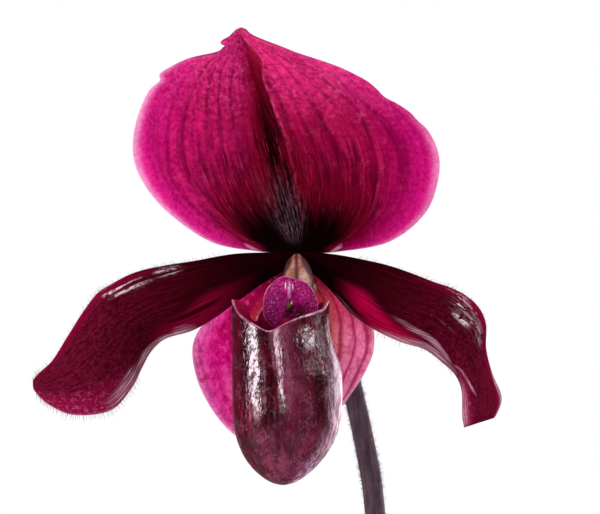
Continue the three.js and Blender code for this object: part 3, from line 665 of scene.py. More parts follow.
def leaf_waves(u, v):
    """The groove down a leaf's middle, which is a keel below, and its faint long ribs."""
    across = 2 * v - 1
    groove = -LEAF_GROOVE * np.exp(-(across / 0.06) ** 2) * ease_between(0.2, 0.4, u)
    ribs = 0.06 * np.cos(26 * across) * ease_between(0.2, 0.5, u)
    return -(groove + ribs)


leaf_finish, tree = new_finish("mottled_leaf")
place = place_of(tree)
along = layer_of(tree, "along")
across = layer_of(tree, "across")
back = layer_of(tree, "back")
grid = node(tree, "ShaderNodeCombineXYZ",
            {0: across * 5.5, 1: along * 19.0, 2: layer_of(tree, "leaf_number") * 3.7 + back})[0]
bent = node(tree, "ShaderNodeTexNoise", {"Vector": grid, "Scale": 1.4, "Detail": 3.0})
bent = node(tree, "ShaderNodeVectorMath", {0: bent["Color"], 1: (1.1, 1.1, 0.0)}, operation="MULTIPLY")
bent = node(tree, "ShaderNodeVectorMath", {0: grid, 1: bent[0]}, operation="ADD")[0]
tiles = node(tree, "ShaderNodeTexVoronoi", {"Vector": bent, "Scale": 1.0, "Randomness": 0.75})
tile_shade = node(tree, "ShaderNodeSeparateColor", {0: tiles["Color"]})[0]
dark_tiles = (tile_shade + place.cloud(2.2, 3) * 0.5).rise(0.62, 0.86)
upper = dark_tiles.between("7f9a63", "35552f")
upper = upper.wash("4f7040", place.cloud(26, 2).rise(0.35, 0.7, 0.0, 0.4))
rib = (across * 8.0).pingpong(0.5)
upper = upper.wash("2c4526", rib.rise(0.1, 0.0, 0.0, 0.35))
upper = upper.wash("2b4424", abs(across).rise(0.07, 0.0) * 0.6)
lower = dark_tiles.between("7b8f66", "647b52")
dots = place.cloud(0.9, 2).rise(0.56, 0.66) * along.rise(0.75, 0.15)
lower = lower.wash("4b2138", dots * 0.85)
green = back.between(upper, lower)
green = green.wash("8d9a6a", along.rise(0.2, 0.02, 0.0, 0.5))
surface = rib.relief(0.12, strength=0.5)
surface = place.cloud(0.45, 2).relief(0.05, surface, 0.5)
shade(tree, green, place.cloud(7, 2).rise(0.3, 0.7, 0.36, 0.52), surface, glow=0.18)
for order, leaf in enumerate(LEAVES):
    leaf_name = f"leaf_{order + 1}"
    surface = leaf_surface(leaf, order)
    leaf_piece = blade(f"{leaf_name}_blade", surface, *LEAF_GRID, LEAF_THICKNESS, leaf_waves, -1)
    number = leaf_piece.data.attributes.new("leaf_number", "FLOAT", "POINT")
    number.data.foreach_set("value", np.full(len(leaf_piece.data.vertices), order, np.float32))
    settle(leaf_piece, leaf_finish, "leaf", leaf_name)


# The scape: the flower stalk, a solid dark stem with a nap of short hairs. It grows out of
# the youngest leaf's sheath.
SCAPE_FOOT_RADIUS = 2.38
SCAPE_TOP_RADIUS = 2.2
SCAPE_PATH = [
    [0, 0, CROWN_LEVEL + GAP],
    [0, 0, 85],
    [0, 0.1, 104],
    [-1, 2.4, 170],
    [-3.6, 4, 230],
    [-6.8, 4, 269.3],
    [-8.7, 4, 281.7],
    [-11.9, 4, 296],
    [-13.2, 4.4, 300.6],
]
SCAPE_GRID = (150, 28)
SCAPE_HAIRS = 5200
SCAPE_HAIR_LENGTH = (0.35, 0.95)
SCAPE_HAIR_SEED = 5
SCAPE_GREEN = (200, 80)
HAIR_RADIUS = 0.035


def rings_along(path, steps, sides, radius_at):
    """Rings square to a path, in millimetres. Each starts on the same side as the one before."""
    t = np.linspace(0, 1, steps + 1)
    centres = path(t)
    ahead = unit(path(np.minimum(t + 1e-4, 1)) - path(np.maximum(t - 1e-4, 0)))
    angles = np.linspace(0, 2 * np.pi, sides, endpoint=False)
    sideways = np.cross([0, 1, 0], ahead[0])
    if np.linalg.norm(sideways) < 0.3:
        sideways = np.array([1.0, 0, 0])
    rings = []
    for step in range(steps + 1):
        sideways = unit((sideways - ahead[step] * (sideways @ ahead[step]))[None])[0]
        up = np.cross(ahead[step], sideways)
        radii = radius_at(t[step], angles) * np.ones(sides)
        rings.append(
            centres[step]
            + sideways * (radii * np.cos(angles))[:, None]
            + up * (radii * np.sin(angles))[:, None]
        )
    return rings


def loft(name, rings, origin=(0, 0, 0)):
    """A closed body through a row of rings. It keeps how far along it each point is."""
    sides = len(rings[0])
    points = np.vstack([*rings, rings[0].mean(axis=0)[None], rings[-1].mean(axis=0)[None]])
    start, end = len(points) - 2, len(points) - 1
    last = (len(rings) - 1) * sides
    faces = []
    for side in range(sides):
        after = (side + 1) % sides
        faces.append((start, after, side))
        faces.append((end, last + side, last + after))
        for ring in range(len(rings) - 1):
            low = ring * sides
            faces.append((low + side, low + after, low + sides + after, low + sides + side))
    along = np.append(np.repeat(np.linspace(0, 1, len(rings)), sides), [0, 1])
    around = np.append(np.tile(np.linspace(0, 1, sides, endpoint=False), len(rings)), [0, 0])
    return add_piece(name, (points + np.array(origin)) * MM, faces, {"along": along, "around": around})


def hairs(name, roots, directions, lengths, radius=HAIR_RADIUS, origin=(0, 0, 0)):
    """Fine tapered hairs, each with a slight bend, as one piece. Sizes are in millimetres."""
    directions = unit(directions)
    helper = np.where(np.abs(directions[:, [2]]) > 0.8, [[1.0, 0, 0]], [[0, 0, 1.0]])
    first = unit(np.cross(directions, helper))
    second = np.cross(directions, first)
    lengths = np.asarray(lengths)[:, None]
    base = []
    waist = []
    for side in range(3):
        angle = 2 * math.pi * side / 3
        out = first * math.cos(angle) + second * math.sin(angle)
        base.append(roots + radius * out - directions * 0.1)
        waist.append(roots + 0.6 * radius * out + directions * lengths * 0.5)
    tip = roots + directions * lengths + first * lengths * 0.12
    points = np.vstack([*base, *waist, tip])
    count = len(roots)
    faces = []
    for hair in range(count):
        corners = [hair + count * part for part in range(7)]
        for side in range(3):
            after = (side + 1) % 3
            faces.append((corners[side], corners[after], corners[3 + after], corners[3 + side]))
            faces.append((corners[3 + side], corners[3 + after], corners[6]))
        faces.append((corners[2], corners[1], corners[0]))
    return add_piece(name, (points + np.array(origin)) * MM, faces)


def hairs_on_rings(name, rings, count, span, seed, origin=(0, 0, 0)):
    """Hairs that stand out all over a body made of rings."""
    draw = random.Random(seed)
    roots, directions, lengths = [], [], []
    for _ in range(count):
        along = draw.uniform(0.002, 0.998) * (len(rings) - 1)
        ring = int(along)
        side = draw.randrange(len(rings[0]))
        near, far = rings[ring], rings[ring + 1]
        root = near[side] + (far[side] - near[side]) * (along - ring)
        centre = near.mean(axis=0) + (far.mean(axis=0) - near.mean(axis=0)) * (along - ring)
        lean = np.array([draw.uniform(-0.35, 0.35), draw.uniform(-0.35, 0.35), draw.uniform(-0.3, 0.5)])
        roots.append(root)
        directions.append(unit((root - centre)[None])[0] + lean)
        lengths.append(draw.uniform(*span))
    return hairs(name, np.array(roots), np.array(directions), lengths, origin=origin)


def scape_radius(t, angles):
    """The scape tapers a little, and is not quite round."""
    taper = SCAPE_FOOT_RADIUS + (SCAPE_TOP_RADIUS - SCAPE_FOOT_RADIUS) * t
    return taper * (1 + 0.015 * np.sin(3 * angles + 9 * t) + 0.012 * np.sin(5 * angles - 20 * t))


scape_rings = rings_along(curve_through(SCAPE_PATH), *SCAPE_GRID, scape_radius)
scape = loft("scape_stem", scape_rings)
scape_hairs = hairs_on_rings(
    "scape_hairs", scape_rings, SCAPE_HAIRS, SCAPE_HAIR_LENGTH, SCAPE_HAIR_SEED
)

scape_finish, tree = new_finish("scape_skin")
place = place_of(tree)
streaks = place.stretched((1.0, 1.0, 0.12)).cloud(0.9, 3)
stem = streaks.rise(0.3, 0.7).between("35262e", "50404a")
stem = stem.wash("2a1a20", place.cloud(0.5, 2).rise(0.5, 0.75, 0.0, 0.5))
height = place.part("Z")
foot_green = height.rise(SCAPE_GREEN[0] * MM, SCAPE_GREEN[1] * MM)
stem = stem.wash("4d4a2c", foot_green * 0.6)
surface = streaks.relief(0.15, strength=0.6)
surface = place.cloud(0.35, 2).relief(0.12, surface, 0.7)
shade(tree, stem, 0.62, surface, Specular_IOR_Level=0.15)
settle(scape, scape_finish, "scape", "scape")

hair_finish, tree = new_finish("dark_hair")
down = place_of(tree).cloud(2, 2).between("3a2430", "6a5460")
shade(tree, down, 0.6)
settle(scape_hairs, hair_finish, "scape")


# The ovary: the ribbed seed vessel that carries the bloom, hairy like the scape. The bract
# behind its foot is a short pointed sheath, thin and green with dark dots.
BLOOM = (-24, -20, 325)
OVARY_RINGS = [
    [[0, 2.7, -1.6], 3],
    [[0.1, 3.6, -1.6], 2.9],
    [[0.5, 6, -1.8], 2.3],
    [[2.2, 14, -3.4], 2.9],
    [[6, 21.8, -9], 3.1],
    [[9, 25, -16.5], 2.9],
    [[10.8, 24.4, -24.1], 2.3],
]
OVARY_RIBS = 6
OVARY_RIB_DEPTH = 0.07
OVARY_RIB_START = 0.3
OVARY_RIB_END = 0.2
OVARY_GRID = (60, 36)
OVARY_HAIRS = 1500
OVARY_HAIRY = slice(6, 50)
OVARY_HAIR_SEED = 7
BRACT_PATH = [[11, 27.8, -25.8], [10.7, 29.5, -19], [9.8, 31.6, -10], [8.4, 32.6, -2]]
BRACT_RADIUS = 3.3
BRACT_WRAP = 2.2
BRACT_HALF_WIDTH = 5.8
BRACT_CURL = 0.8
BRACT_OPEN = 0.5
BRACT_TIP_POWER = 2.2
BRACT_TIP_ROUND = 0.7
BRACT_TIP_LEAST = 0.06
BRACT_THICKNESS = 0.7
BRACT_GRID = (44, 30)

ovary_radii = curve_through([[radius] for _, radius in OVARY_RINGS])


def ovary_radius(t, angles):
    """The ovary's six ribs fade out at both of its ends."""
    depth = OVARY_RIB_DEPTH * ease(t / OVARY_RIB_START) * ease((1 - t) / OVARY_RIB_END)
    return ovary_radii(t)[0, 0] * (1 + depth * np.cos(OVARY_RIBS * angles))


def bract_surface(u, v):
    across = 2 * v - 1
    opened = ease(u / BRACT_OPEN)
    tip = np.maximum(BRACT_TIP_LEAST, (1 - np.minimum(u, 1) ** BRACT_TIP_POWER) ** BRACT_TIP_ROUND)
    narrow = BRACT_RADIUS * BRACT_WRAP
    half_width = (narrow + (BRACT_HALF_WIDTH - narrow) * opened) * tip
    curl = BRACT_WRAP + (BRACT_CURL - BRACT_WRAP) * opened
    bow = half_width / curl
    point = curve_through(BRACT_PATH)(u)
    point[:, 0] += bow * np.sin(curl * across)
    point[:, 1] -= bow * (1 - np.cos(curl * across))
    return point


ovary_path = curve_through([centre for centre, _ in OVARY_RINGS])
ovary_rings = rings_along(ovary_path, *OVARY_GRID, ovary_radius)
ovary_rings = [ring[::-1] for ring in ovary_rings][::-1]
ovary = loft("ovary_body", ovary_rings, BLOOM)
ovary_hairs = hairs_on_rings(
    "ovary_hairs", ovary_rings[OVARY_HAIRY], OVARY_HAIRS, SCAPE_HAIR_LENGTH, OVARY_HAIR_SEED, BLOOM
)

ovary_finish, tree = new_finish("ovary_skin")
place = place_of(tree)
ridge = (layer_of(tree, "around") * float(OVARY_RIBS)).pingpong(0.5)
skin = ridge.rise(0.1, 0.4).between("6a4550", "3d1f2c")
skin = skin.wash("5d5a38", place.cloud(1.6, 3).rise(0.5, 0.7, 0.0, 0.5))
shade(tree, skin, 0.6, place.cloud(0.4, 2).relief(0.12, strength=0.6))
settle(ovary, ovary_finish, "ovary", "ovary")
settle(ovary_hairs, hair_finish, "ovary")

bract = blade("bract_sheath", bract_surface, *BRACT_GRID, BRACT_THICKNESS, facing=-1, origin=BLOOM)
bract_finish, tree = new_finish("bract_skin")
place = place_of(tree)
lines = (layer_of(tree, "across") * 9.0).pingpong(0.5)
skin = lines.rise(0.05, 0.25).between("4c5530", "79824c")
skin = skin.wash("3e1a28", place.cloud(0.7, 2).rise(0.58, 0.68, 0.0, 0.8))
skin = skin.wash("5a2a3a", layer_of(tree, "along").rise(0.5, 1.0, 0.0, 0.5))
surface = lines.relief(0.1, strength=0.6)
shade(tree, skin, 0.55, surface, glow=0.2)
settle(bract, bract_finish, "bract", "bract")


# The synsepal: the two lower sepals grown together, a smooth pink shield behind the pouch.
# It is thin enough for light to come through, with dark veins that fan down from its base.
SEPAL_THICKNESS = 0.9
HEART_PLACE = ((BLOOM[0] - 1.5) * MM, (BLOOM[1] + 3) * MM, BLOOM[2] * MM)
HEART_SHAPE = (1.0, 0.5, 1.6)
SWELL_POWER = 0.7
SYNSEPAL_GRID = (96, 72)
SYNSEPAL_ROWS = [
    [[-2.4, 1.7, -2.9], [0, 1.7, -3.4], [2.4, 1.7, -2.9], 0],
    [[-9, 2.4, -5.2], [-0.2, 2.6, -6.9], [8.6, 2.4, -5.2], 0],
    [[-16, 3, -10], [-0.7, 5.5, -11.2], [14.2, 3, -10], -0.3],
    [[-20.2, 3.5, -14.8], [-1.1, 7.5, -15.6], [16.4, 3.5, -15.5], -0.6],
    [[-22.3, 4, -19.3], [-1.5, 8.5, -20.3], [16.5, 4, -20.2], -0.8],
    [[-21.9, 4, -24.9], [-2, 8.5, -25.5], [14.8, 4, -24.3], -0.8],
    [[-20, 4, -30.1], [-2.2, 8, -30.7], [12.4, 4, -28.3], -0.8],
    [[-16.5, 4, -35.2], [-2.6, 7, -35.8], [9.2, 4, -33.1], -0.6],
    [[-12.2, 3.5, -39], [-2.8, 5.5, -40], [5.4, 3.5, -36.9], -0.3],
    [[-7.5, 3, -42], [-3, 4, -42.7], [1.1, 3, -40.7], 0],
    [[-3.6, 2.5, -43.4], [-3, 2.7, -43.7], [-2.4, 2.5, -43.4], 0],
]


def petal_surface(rows):
    """A petal or sepal: rows of edge, middle, edge, joined by smooth curves along the blade."""
    lines = [curve_through([row[side] for row in rows]) for side in range(3)]
    swells = [row[3] for row in rows]

    def at(u, v):
        across = 2 * v - 1
        share = np.abs(across)[:, None]
        edge = np.where((across < 0)[:, None], lines[0](u), lines[2](u))
        point = lines[1](u) * (1 - share) + edge * share
        swell = np.interp(u * (len(rows) - 1), range(len(rows)), swells)
        point[:, 1] -= swell * np.sin(np.pi * np.abs(across) ** SWELL_POWER)
        return point

    return at


def new_group(name, inputs, outputs):
    """A node group that finishes share, with its inputs and outputs by name."""
    group = bpy.data.node_groups.new(name, "ShaderNodeTree")
    for label, kind in inputs.items():
        group.interface.new_socket(label, in_out="INPUT", socket_type=f"NodeSocket{kind}")
    for label in outputs:
        group.interface.new_socket(label, in_out="OUTPUT", socket_type="NodeSocketFloat")
    given = fields_of(group.nodes.new("NodeGroupInput").outputs)
    return group, given, group.nodes.new("NodeGroupOutput").inputs


def use_group(tree, group, sockets):
    made = tree.nodes.new("ShaderNodeGroup")
    made.node_tree = group
    for name, value in sockets.items():
        join(tree, value, made.inputs[name])
    return fields_of(made.outputs)


# Long veins down a blade, and the fine net of cross veins between them.
veins, given, made = new_group(
    "petal_veins",
    {"Across": "Float", "Along": "Float", "Count": "Float", "Width": "Float", "Wander": "Float"},
    ["Vein", "Net"],
)
sway = node(veins, "ShaderNodeCombineXYZ", {0: given["Across"], 1: given["Along"]})[0]
sway = node(veins, "ShaderNodeTexNoise", {"Vector": sway, "Scale": 4.0, "Detail": 2.0})[0]
sway = (sway - 0.5) * given["Wander"]
counted = given["Across"] * given["Count"] + sway
join(veins, 1.0 - counted.pingpong(0.5).rise(0.0, given["Width"]), made["Vein"])
cells = node(veins, "ShaderNodeCombineXYZ", {0: counted * 1.5, 1: given["Along"] * 46.0})[0]
cells = node(veins, "ShaderNodeTexVoronoi", {"Vector": cells, "Scale": 1.0}, feature="DISTANCE_TO_EDGE")
join(veins, 1.0 - cells["Distance"].rise(0.0, 0.14), made["Net"])


def blade_fields(tree, count, width, wander):
    """What a blade's skin is drawn from: place, along, across, nearness to its edge, and veins."""
    along, across = layer_of(tree, "along"), layer_of(tree, "across")
    sockets = {"Across": across, "Along": along, "Count": count, "Width": width, "Wander": wander}
    return place_of(tree), along, across, abs(across), use_group(tree, veins, sockets)


def sepal_waves(u, v):
    """Shallow swells between the veins, and a rim that waves a little."""
    across = 2 * v - 1
    ribs = 0.07 * np.cos(2 * np.pi * 6 * across) * (1 - across ** 2) * ease_between(0, 0.2, u)
    rim = 0.35 * np.abs(across) ** 5 * np.sin(17 * u + 5 * np.sign(across)) * ease_between(0, 0.2, u)
    return ribs + rim * ease_between(1, 0.85, u)


synsepal_surface = petal_surface(SYNSEPAL_ROWS)
synsepal = blade("synsepal_blade", synsepal_surface, *SYNSEPAL_GRID, SEPAL_THICKNESS, sepal_waves,
                 -1, BLOOM)
synsepal_finish, tree = new_finish("synsepal_skin")
place, along, across, edge, lines = blade_fields(tree, 6.5, 0.24, 0.8)
grain = place.cloud(0.8, 4, 0.7).rise(0.34, 0.66)
soft = place.stretched((1.0, 1.0, 0.4)).cloud(2.4, 3).rise(0.35, 0.65)
left_half = grain.between("e010a4", "fc4ccc")
left_half = left_half.wash("fcb4e8", edge.rise(0.76, 1.0, 0.0, 0.85))
left_half = left_half.wash("fca8d4", edge.rise(0.86, 0.64) * along.rise(0.42, 0.6) * 0.7)
# Darker inside the top of the left half: painted shade under the left petal.
left_half = left_half.wash("b80064", edge.rise(0.9, 0.6) * along.rise(0.44, 0.3) * 0.8)
right_half = grain.between("eca0c4", "fcc8e0")
right_half = right_half.wash("ecbca8", edge.rise(0.8, 0.4) * soft.rise(0.0, 1.0, 0.5, 1.0))
right_half = right_half.wash("d0507c", along.rise(0.36, 0.2, 0.0, 0.7))
right_half = right_half.wash("fcdcec", along.rise(0.5, 0.75, 0.0, 0.7))
pink = across.rise(-0.5, -0.1).between(left_half, right_half)
inner = edge.rise(0.62, 0.4) * along.rise(0.4, 0.24)
pink = (inner * 0.9).between(pink, soft.between("d8706c", "d89c7c"))
pink = pink.wash("801030", along.rise(0.2, 0.05, 0.0, 0.9))
crumple = place.stretched((1.3, 1.0, 0.8)).cloud(1.7, 3, 0.6)
pink = pink.wash("a80060", crumple.rise(0.47, 0.36) * across.rise(-0.1, -0.5, 0.2, 0.6))
pink = pink.wash("fcb0e4", crumple.rise(0.53, 0.66) * across.rise(-0.1, -0.5, 0.2, 0.6))
pink = pink.wash("a82058", lines["Vein"] * across.rise(-0.5, -0.2, 0.3, 0.8))
pink = pink.wash("b02a6a", lines["Net"] * 0.2)
pink = pink.wash("f8d0e8", edge.rise(0.97, 1.0, 0.0, 0.6))
puckers = abs(place.stretched((1.0, 1.0, 0.6)).cloud(2.0, 3) - 0.5)
# Darker along the pucker creases: painted shade.
pink = pink.wash("b0105c", puckers.rise(0.05, 0.0, 0.0, 0.4))
surface = lines["Vein"].relief(-0.12, strength=0.5)
surface = puckers.rise(0.0, 0.12).relief(0.3, surface, 0.8)
shade(tree, pink, 0.46, surface, glow=0.75, Specular_IOR_Level=0.1)
settle(synsepal, synsepal_finish, "synsepal", "synsepal")


# The dorsal sepal: the tall hood over the bloom, folded to a crease down its middle. Its
# skin is frosted magenta, near black at the base, and paler round the rim.
DORSAL_ROWS = [
    [[-1.5, 1.7, 0.5], [0, 1.7, 0.8], [1.5, 1.7, 0.5], 0],
    [[-9.2, 3, 1.1], [-0.2, 2.4, 3.2], [8.8, 3, 0.9], 0.4],
    [[-18.6, 4, 3.2], [-0.6, 4, 6.4], [19.5, 4, 3], 1.4],
    [[-28.3, 3.8, 9.9], [-1.7, 5.5, 11.2], [27.2, 3.8, 8.8], 1.8],
    [[-33.7, 3.8, 17], [-3, 6.3, 16.8], [30.2, 3.8, 15.7], 2],
    [[-35.2, 3.6, 23.6], [-4.5, 6.3, 22.4], [30.2, 3.6, 22.5], 2],
    [[-33.6, 3, 31.6], [-6.5, 5.3, 28.9], [26.5, 3, 28.9], 1.8],
    [[-29.6, 2, 38.3], [-8.4, 3.8, 35.2], [19.7, 2, 33.8], 1.4],
    [[-24, 0.5, 41.9], [-10.1, 2.3, 40.9], [10.8, 0.5, 39.6], 1],
    [[-17, -1, 43.1], [-11.1, 0.4, 44.9], [-0.4, -1, 43.3], 0.6],
    [[-14.9, -2, 45.9], [-11.7, -1.3, 47.1], [-8.7, -2, 46.3], 0.2],
    [[-12.5, -3, 48.2], [-11.9, -3, 48.4], [-11.2, -3, 48.2], 0],
]
DORSAL_NICKS = [
    [-1, 0.622, 0.014, 0.9], [-1, 0.655, 0.02, -0.5], [-1, 0.862, 0.012, 0.8], [-1, 0.892, 0.018, -1.0],
    [1, 0.55, 0.02, 0.5], [1, 0.64, 0.016, 0.6], [1, 0.69, 0.02, -0.4], [1, 0.8, 0.03, 0.4],
]
DORSAL_GRID = (190, 120)


def nicked(surface, nicks):
    """A blade's surface with small dents and bulges in its outline: side, place, width, depth."""
    def at(u, v):
        point = surface(u, v)
        across = 2 * v - 1
        for side, place_along, width, depth in nicks:
            near_edge = ease_between(0.7, 1, side * across)
            point[:, 0] -= side * depth * near_edge * np.exp(-(((u - place_along) / width) ** 2))
        return point

    return at


def spot(along, across, middle, reach, slope=0.0):
    """One at a place on a blade, fading out over its reach, and slanted by the slope."""
    run = along - middle[0]
    side = (across - middle[1] - run * slope) / reach[1]
    run = run / reach[0]
    return (run * run + side * side).root().rise(1.0, 0.35)


def all_of(along, across, spots):
    """Several spots together."""
    together = spot(along, across, *spots[0])
    for more in spots[1:]:
        together = together.larger(spot(along, across, *more))
    return together


def grained(along, across, wide, long, detail=4.0):
    """Random streaks that run down a blade, from how many there are across it and along it."""
    drawn = node(along.tree, "ShaderNodeCombineXYZ", {0: across * wide, 1: along * long})[0]
    sockets = {"Vector": drawn, "Scale": 1.0, "Detail": detail, "Roughness": 0.62}
    return node(along.tree, "ShaderNodeTexNoise", sockets)[0]


def dorsal_waves(u, v):
    """Ribs between the dorsal sepal's veins, and the faint lumps of its frosted skin."""
    across = 2 * v - 1
    spread = ease_between(0.02, 0.25, u) * ease_between(1, 0.8, u)
    ribs = 0.1 * np.cos(2 * np.pi * 9 * across) * spread * (1 - np.abs(across) ** 3)
    lumps = 0.22 * np.sin(13 * u + 7 * across) * np.sin(11 * across - 5 * u) * spread
    rim = 0.3 * np.abs(across) ** 7 * np.sin(24 * u + 3 * np.sign(across)) * spread
    return ribs + lumps + rim


dorsal_surface = nicked(petal_surface(DORSAL_ROWS), DORSAL_NICKS)
dorsal = blade("dorsal_blade", dorsal_surface, *DORSAL_GRID, SEPAL_THICKNESS, dorsal_waves, 1, BLOOM)
dorsal_finish, tree = new_finish("dorsal_skin")
place, along, across, edge, lines = blade_fields(tree, 8.0, 0.22, 1.5)
grain = place.cloud(0.8, 4, 0.7).rise(0.34, 0.66)
clouds = place.cloud(5, 4, 0.6).rise(0.36, 0.66)
streak = grained(along, across, 34.0, 7.0)
fine = grained(along, across, 58.0, 10.0)
dashes = grained(along, across, 34.0, 34.0, 3.0)
needles = grained(along, across, 110.0, 9.0, 2.0)
# Lighter and pinker on the left half: partly its own tone, partly painted light on that half.
body = across.rise(0.35, -0.5).between("b80060", "e01894")
body = body.wash("a80056", clouds * 0.5)
body = body.wash("d000a0", edge.rise(0.5, 0.92) * 0.65)
body = body.wash("fa60bc", grain * across.rise(0.5, -0.6, 0.15, 0.4))
body = body.wash("98004c", place.cloud(1.6, 5, 0.7).rise(0.5, 0.38, 0.0, 0.3))
body = body.wash("ff6cb4", place.cloud(2.4, 5, 0.7).rise(0.54, 0.68) * 0.45)
body = body.wash("ff78c8", along.rise(0.5, 0.8) * grain * 0.8)
# Paler at the apex, and painted light over the top right, where the skin rolls over.
top_left = spot(along, across, (0.8, -0.65), (0.14, 0.4))
top_right_light = across.rise(0.2, 0.55) * along.rise(0.56, 0.7)
pale_apex_and_top_light = top_left.larger(top_right_light)
body = body.wash("ff70b4", pale_apex_and_top_light * clouds.rise(0.0, 1.0, 0.15, 0.65))
body = body.wash("8c0450", lines["Net"] * 0.12)
vein_share = edge.rise(1.0, 0.6, 0.1, 0.75) * clouds.rise(0.0, 1.0, 0.4, 1.0)
body = (lines["Vein"] * vein_share).between(body, across.rise(-0.1, 0.2).between("74003c", "5c0030"))
broad = grained(along, across, 20.0, 3.0, 5.0)
lower = along.rise(0.72, 0.4, 0.25, 1.0)
body = body.wash("90004c", broad.rise(0.52, 0.4, 0.0, 0.5) * lower)
body = body.wash("fc4c98", broad.rise(0.52, 0.64) * edge.rise(0.9, 0.6) * lower * 0.4)
frosted = (
    along.rise(0.45, 0.7) * place.cloud(1.1, 3, 0.6).rise(0.52, 0.68)
    * clouds.rise(0.0, 1.0, 0.3, 0.8)
)
body = body.wash("ff94cc", frosted)
# The fold: shaded on its left, and lit along its right where the skin rolls over.
off_fold = across - along.rise(0.42, 0.68, 0.0, 0.08)
shaded = off_fold.rise(-0.3, -0.05) * off_fold.rise(0.03, 0.0) * along.rise(0.84, 0.66)
body = body.wash("90002c", shaded * 0.6)
rolled = off_fold.rise(0.08, 0.13) * off_fold.rise(0.6, 0.2) * along.rise(0.52, 0.72)
body = body.wash("ff58b4", rolled * streak.rise(0.36, 0.6, 0.3, 1.0) * 0.7)
crest = abs(off_fold - 0.05).rise(0.06, 0.01)
body = body.wash("ff9cd0", crest * along.rise(0.7, 0.88) * 0.8)
# The dark heart: black at the base, crimson further out, and a wedge up the crease.
flattened = place.stretched(HEART_SHAPE)
heart = tuple(at * by for at, by in zip(HEART_PLACE, HEART_SHAPE))
from_base = node(tree, "ShaderNodeVectorMath", {0: flattened, 1: heart}, operation="DISTANCE")["Value"]
from_base = from_base * streak.rise(0.3, 0.7, 1.22, 0.82)
brim = edge.rise(0.45, 0.95) * along.rise(0.04, 0.14)
from_base = from_base + brim * (34 * MM)
crackle = node(tree, "ShaderNodeCombineXYZ", {0: across * 14.0, 1: along * 75.0})[0]
crackle = node(tree, "ShaderNodeTexNoise", {"Vector": crackle, "Scale": 1.0, "Detail": 3.0})[0]
body = body.wash("980050", crackle.rise(0.5, 0.4) * edge.rise(0.95, 0.5) * 0.4)
# Dark streaks near the base: partly its own streaks, partly painted shade in the furrows.
streaks_and_furrow_shade = streak.rise(0.54, 0.42) * from_base.rise(56 * MM, 24 * MM)
body = body.wash("700030", streaks_and_furrow_shade * 0.9)
streaks_and_furrow_shade = fine.rise(0.5, 0.42) * from_base.rise(50 * MM, 26 * MM)
body = body.wash("400014", streaks_and_furrow_shade * 0.8)
body = body.wash("900032", from_base.rise(40 * MM, 19 * MM, 0.0, 0.85))
off_ridge = across - (along.rise(0.66, 0.8, 0.0, 0.12) + 0.086)
left_of_ridge = off_ridge.rise(0.02, -0.015).larger(along.rise(0.6, 0.4, 0.1, 1.0))
wedge = along.rise(0.95, 0.55, 0.015, 0.1) * streak.rise(0.3, 0.7, 0.6, 1.35)
depth_in = abs(off_fold) / wedge
body = body.wash("9c0030", depth_in.rise(2.6, 0.9, 0.0, 0.8) * left_of_ridge)
blackness = depth_in.rise(1.7, 0.5) * along.rise(0.8, 0.5, 0.1, 1.0) * fine.rise(0.62, 0.46, 0.35, 1.0)
body = body.wash("240209", blackness * left_of_ridge)
body = body.wash("180107", from_base.rise(28 * MM, 11 * MM))
flecks = from_base.rise(12 * MM, 20 * MM) * from_base.rise(52 * MM, 34 * MM)
flecks = flecks * needles.rise(0.53, 0.64) * dashes.rise(0.36, 0.54) * streak.rise(0.42, 0.56, 0.1, 1.0)
body = body.wash("e4588c", flecks * across.rise(0.3, -0.1, 0.35, 0.75))
# A painted highlight along the ridge at the wedge's right edge, pink above and crimson below.
ridge = abs(off_ridge).rise(0.018, 0.003)
ridge = ridge * along.rise(0.16, 0.34) * along.rise(0.9, 0.78) * dashes.rise(0.4, 0.6, 0.1, 0.8)
body = ridge.between(body, along.rise(0.4, 0.62).between("c82c60", "ff70b0"))
# A painted grey sheen in the crease near the base.
crease_sheen = along.rise(0.42, 0.24) * along.rise(0.04, 0.14) * fine.rise(0.44, 0.58)
crease_sheen = crease_sheen * abs(across + 0.05).rise(0.22, 0.04) * dashes.rise(0.4, 0.6, 0.35, 1.0)
body = body.wash("a4929c", crease_sheen * 0.85)
# Vivid pink on the lower margins: painted glow of light let through them.
low_margin_glow = edge.rise(0.74, 0.96) * along.rise(0.66, 0.4) * along.rise(0.06, 0.14)
body = body.wash("fc44c0", low_margin_glow * grain.rise(0.0, 1.0, 0.3, 0.65))
left_rim = edge.rise(0.9, 0.99) * across.rise(0.0, -0.3) * along.rise(0.85, 0.6, 0.2, 1.0)
right_rim = edge.rise(0.91, 0.99) * across.rise(-0.3, 0.0) * along.rise(0.66, 0.46, 0.2, 1.0)
pale = left_rim + right_rim * 0.9
pale = pale * pale * grain.rise(0.0, 1.0, 0.7, 1.0)
body = body.wash("ffd8f2", pale)
# Painted glints on the shiny margins beside the base.
painted_glints = all_of(along, across,
                [((0.105, -0.87), (0.05, 0.05), 3.1), ((0.1, 0.84), (0.045, 0.06), -4.5)])
body = body.wash("fcf4fa", painted_glints * fine.rise(0.42, 0.54))
behind = body.wash("7c1c50", 0.45)
skin = layer_of(tree, "back").between(body, behind)
surface = lines["Vein"].relief(-0.15, strength=0.4)
surface = grain.relief(0.1, surface, 0.5)
surface = streak.relief(0.3, surface, 0.4)
shiny = edge.rise(0.84, 0.98) * along.rise(0.03, 0.08) * along.rise(0.28, 0.16) * 0.9
shade(tree, skin, grain.rise(0.0, 1.0, 0.34, 0.5), surface, glow=0.8, Specular_IOR_Level=0.03,
      Coat_Weight=shiny, Coat_Roughness=0.1, Coat_IOR=1.9)
settle(dorsal, dorsal_finish, "sepal", "dorsal_sepal")


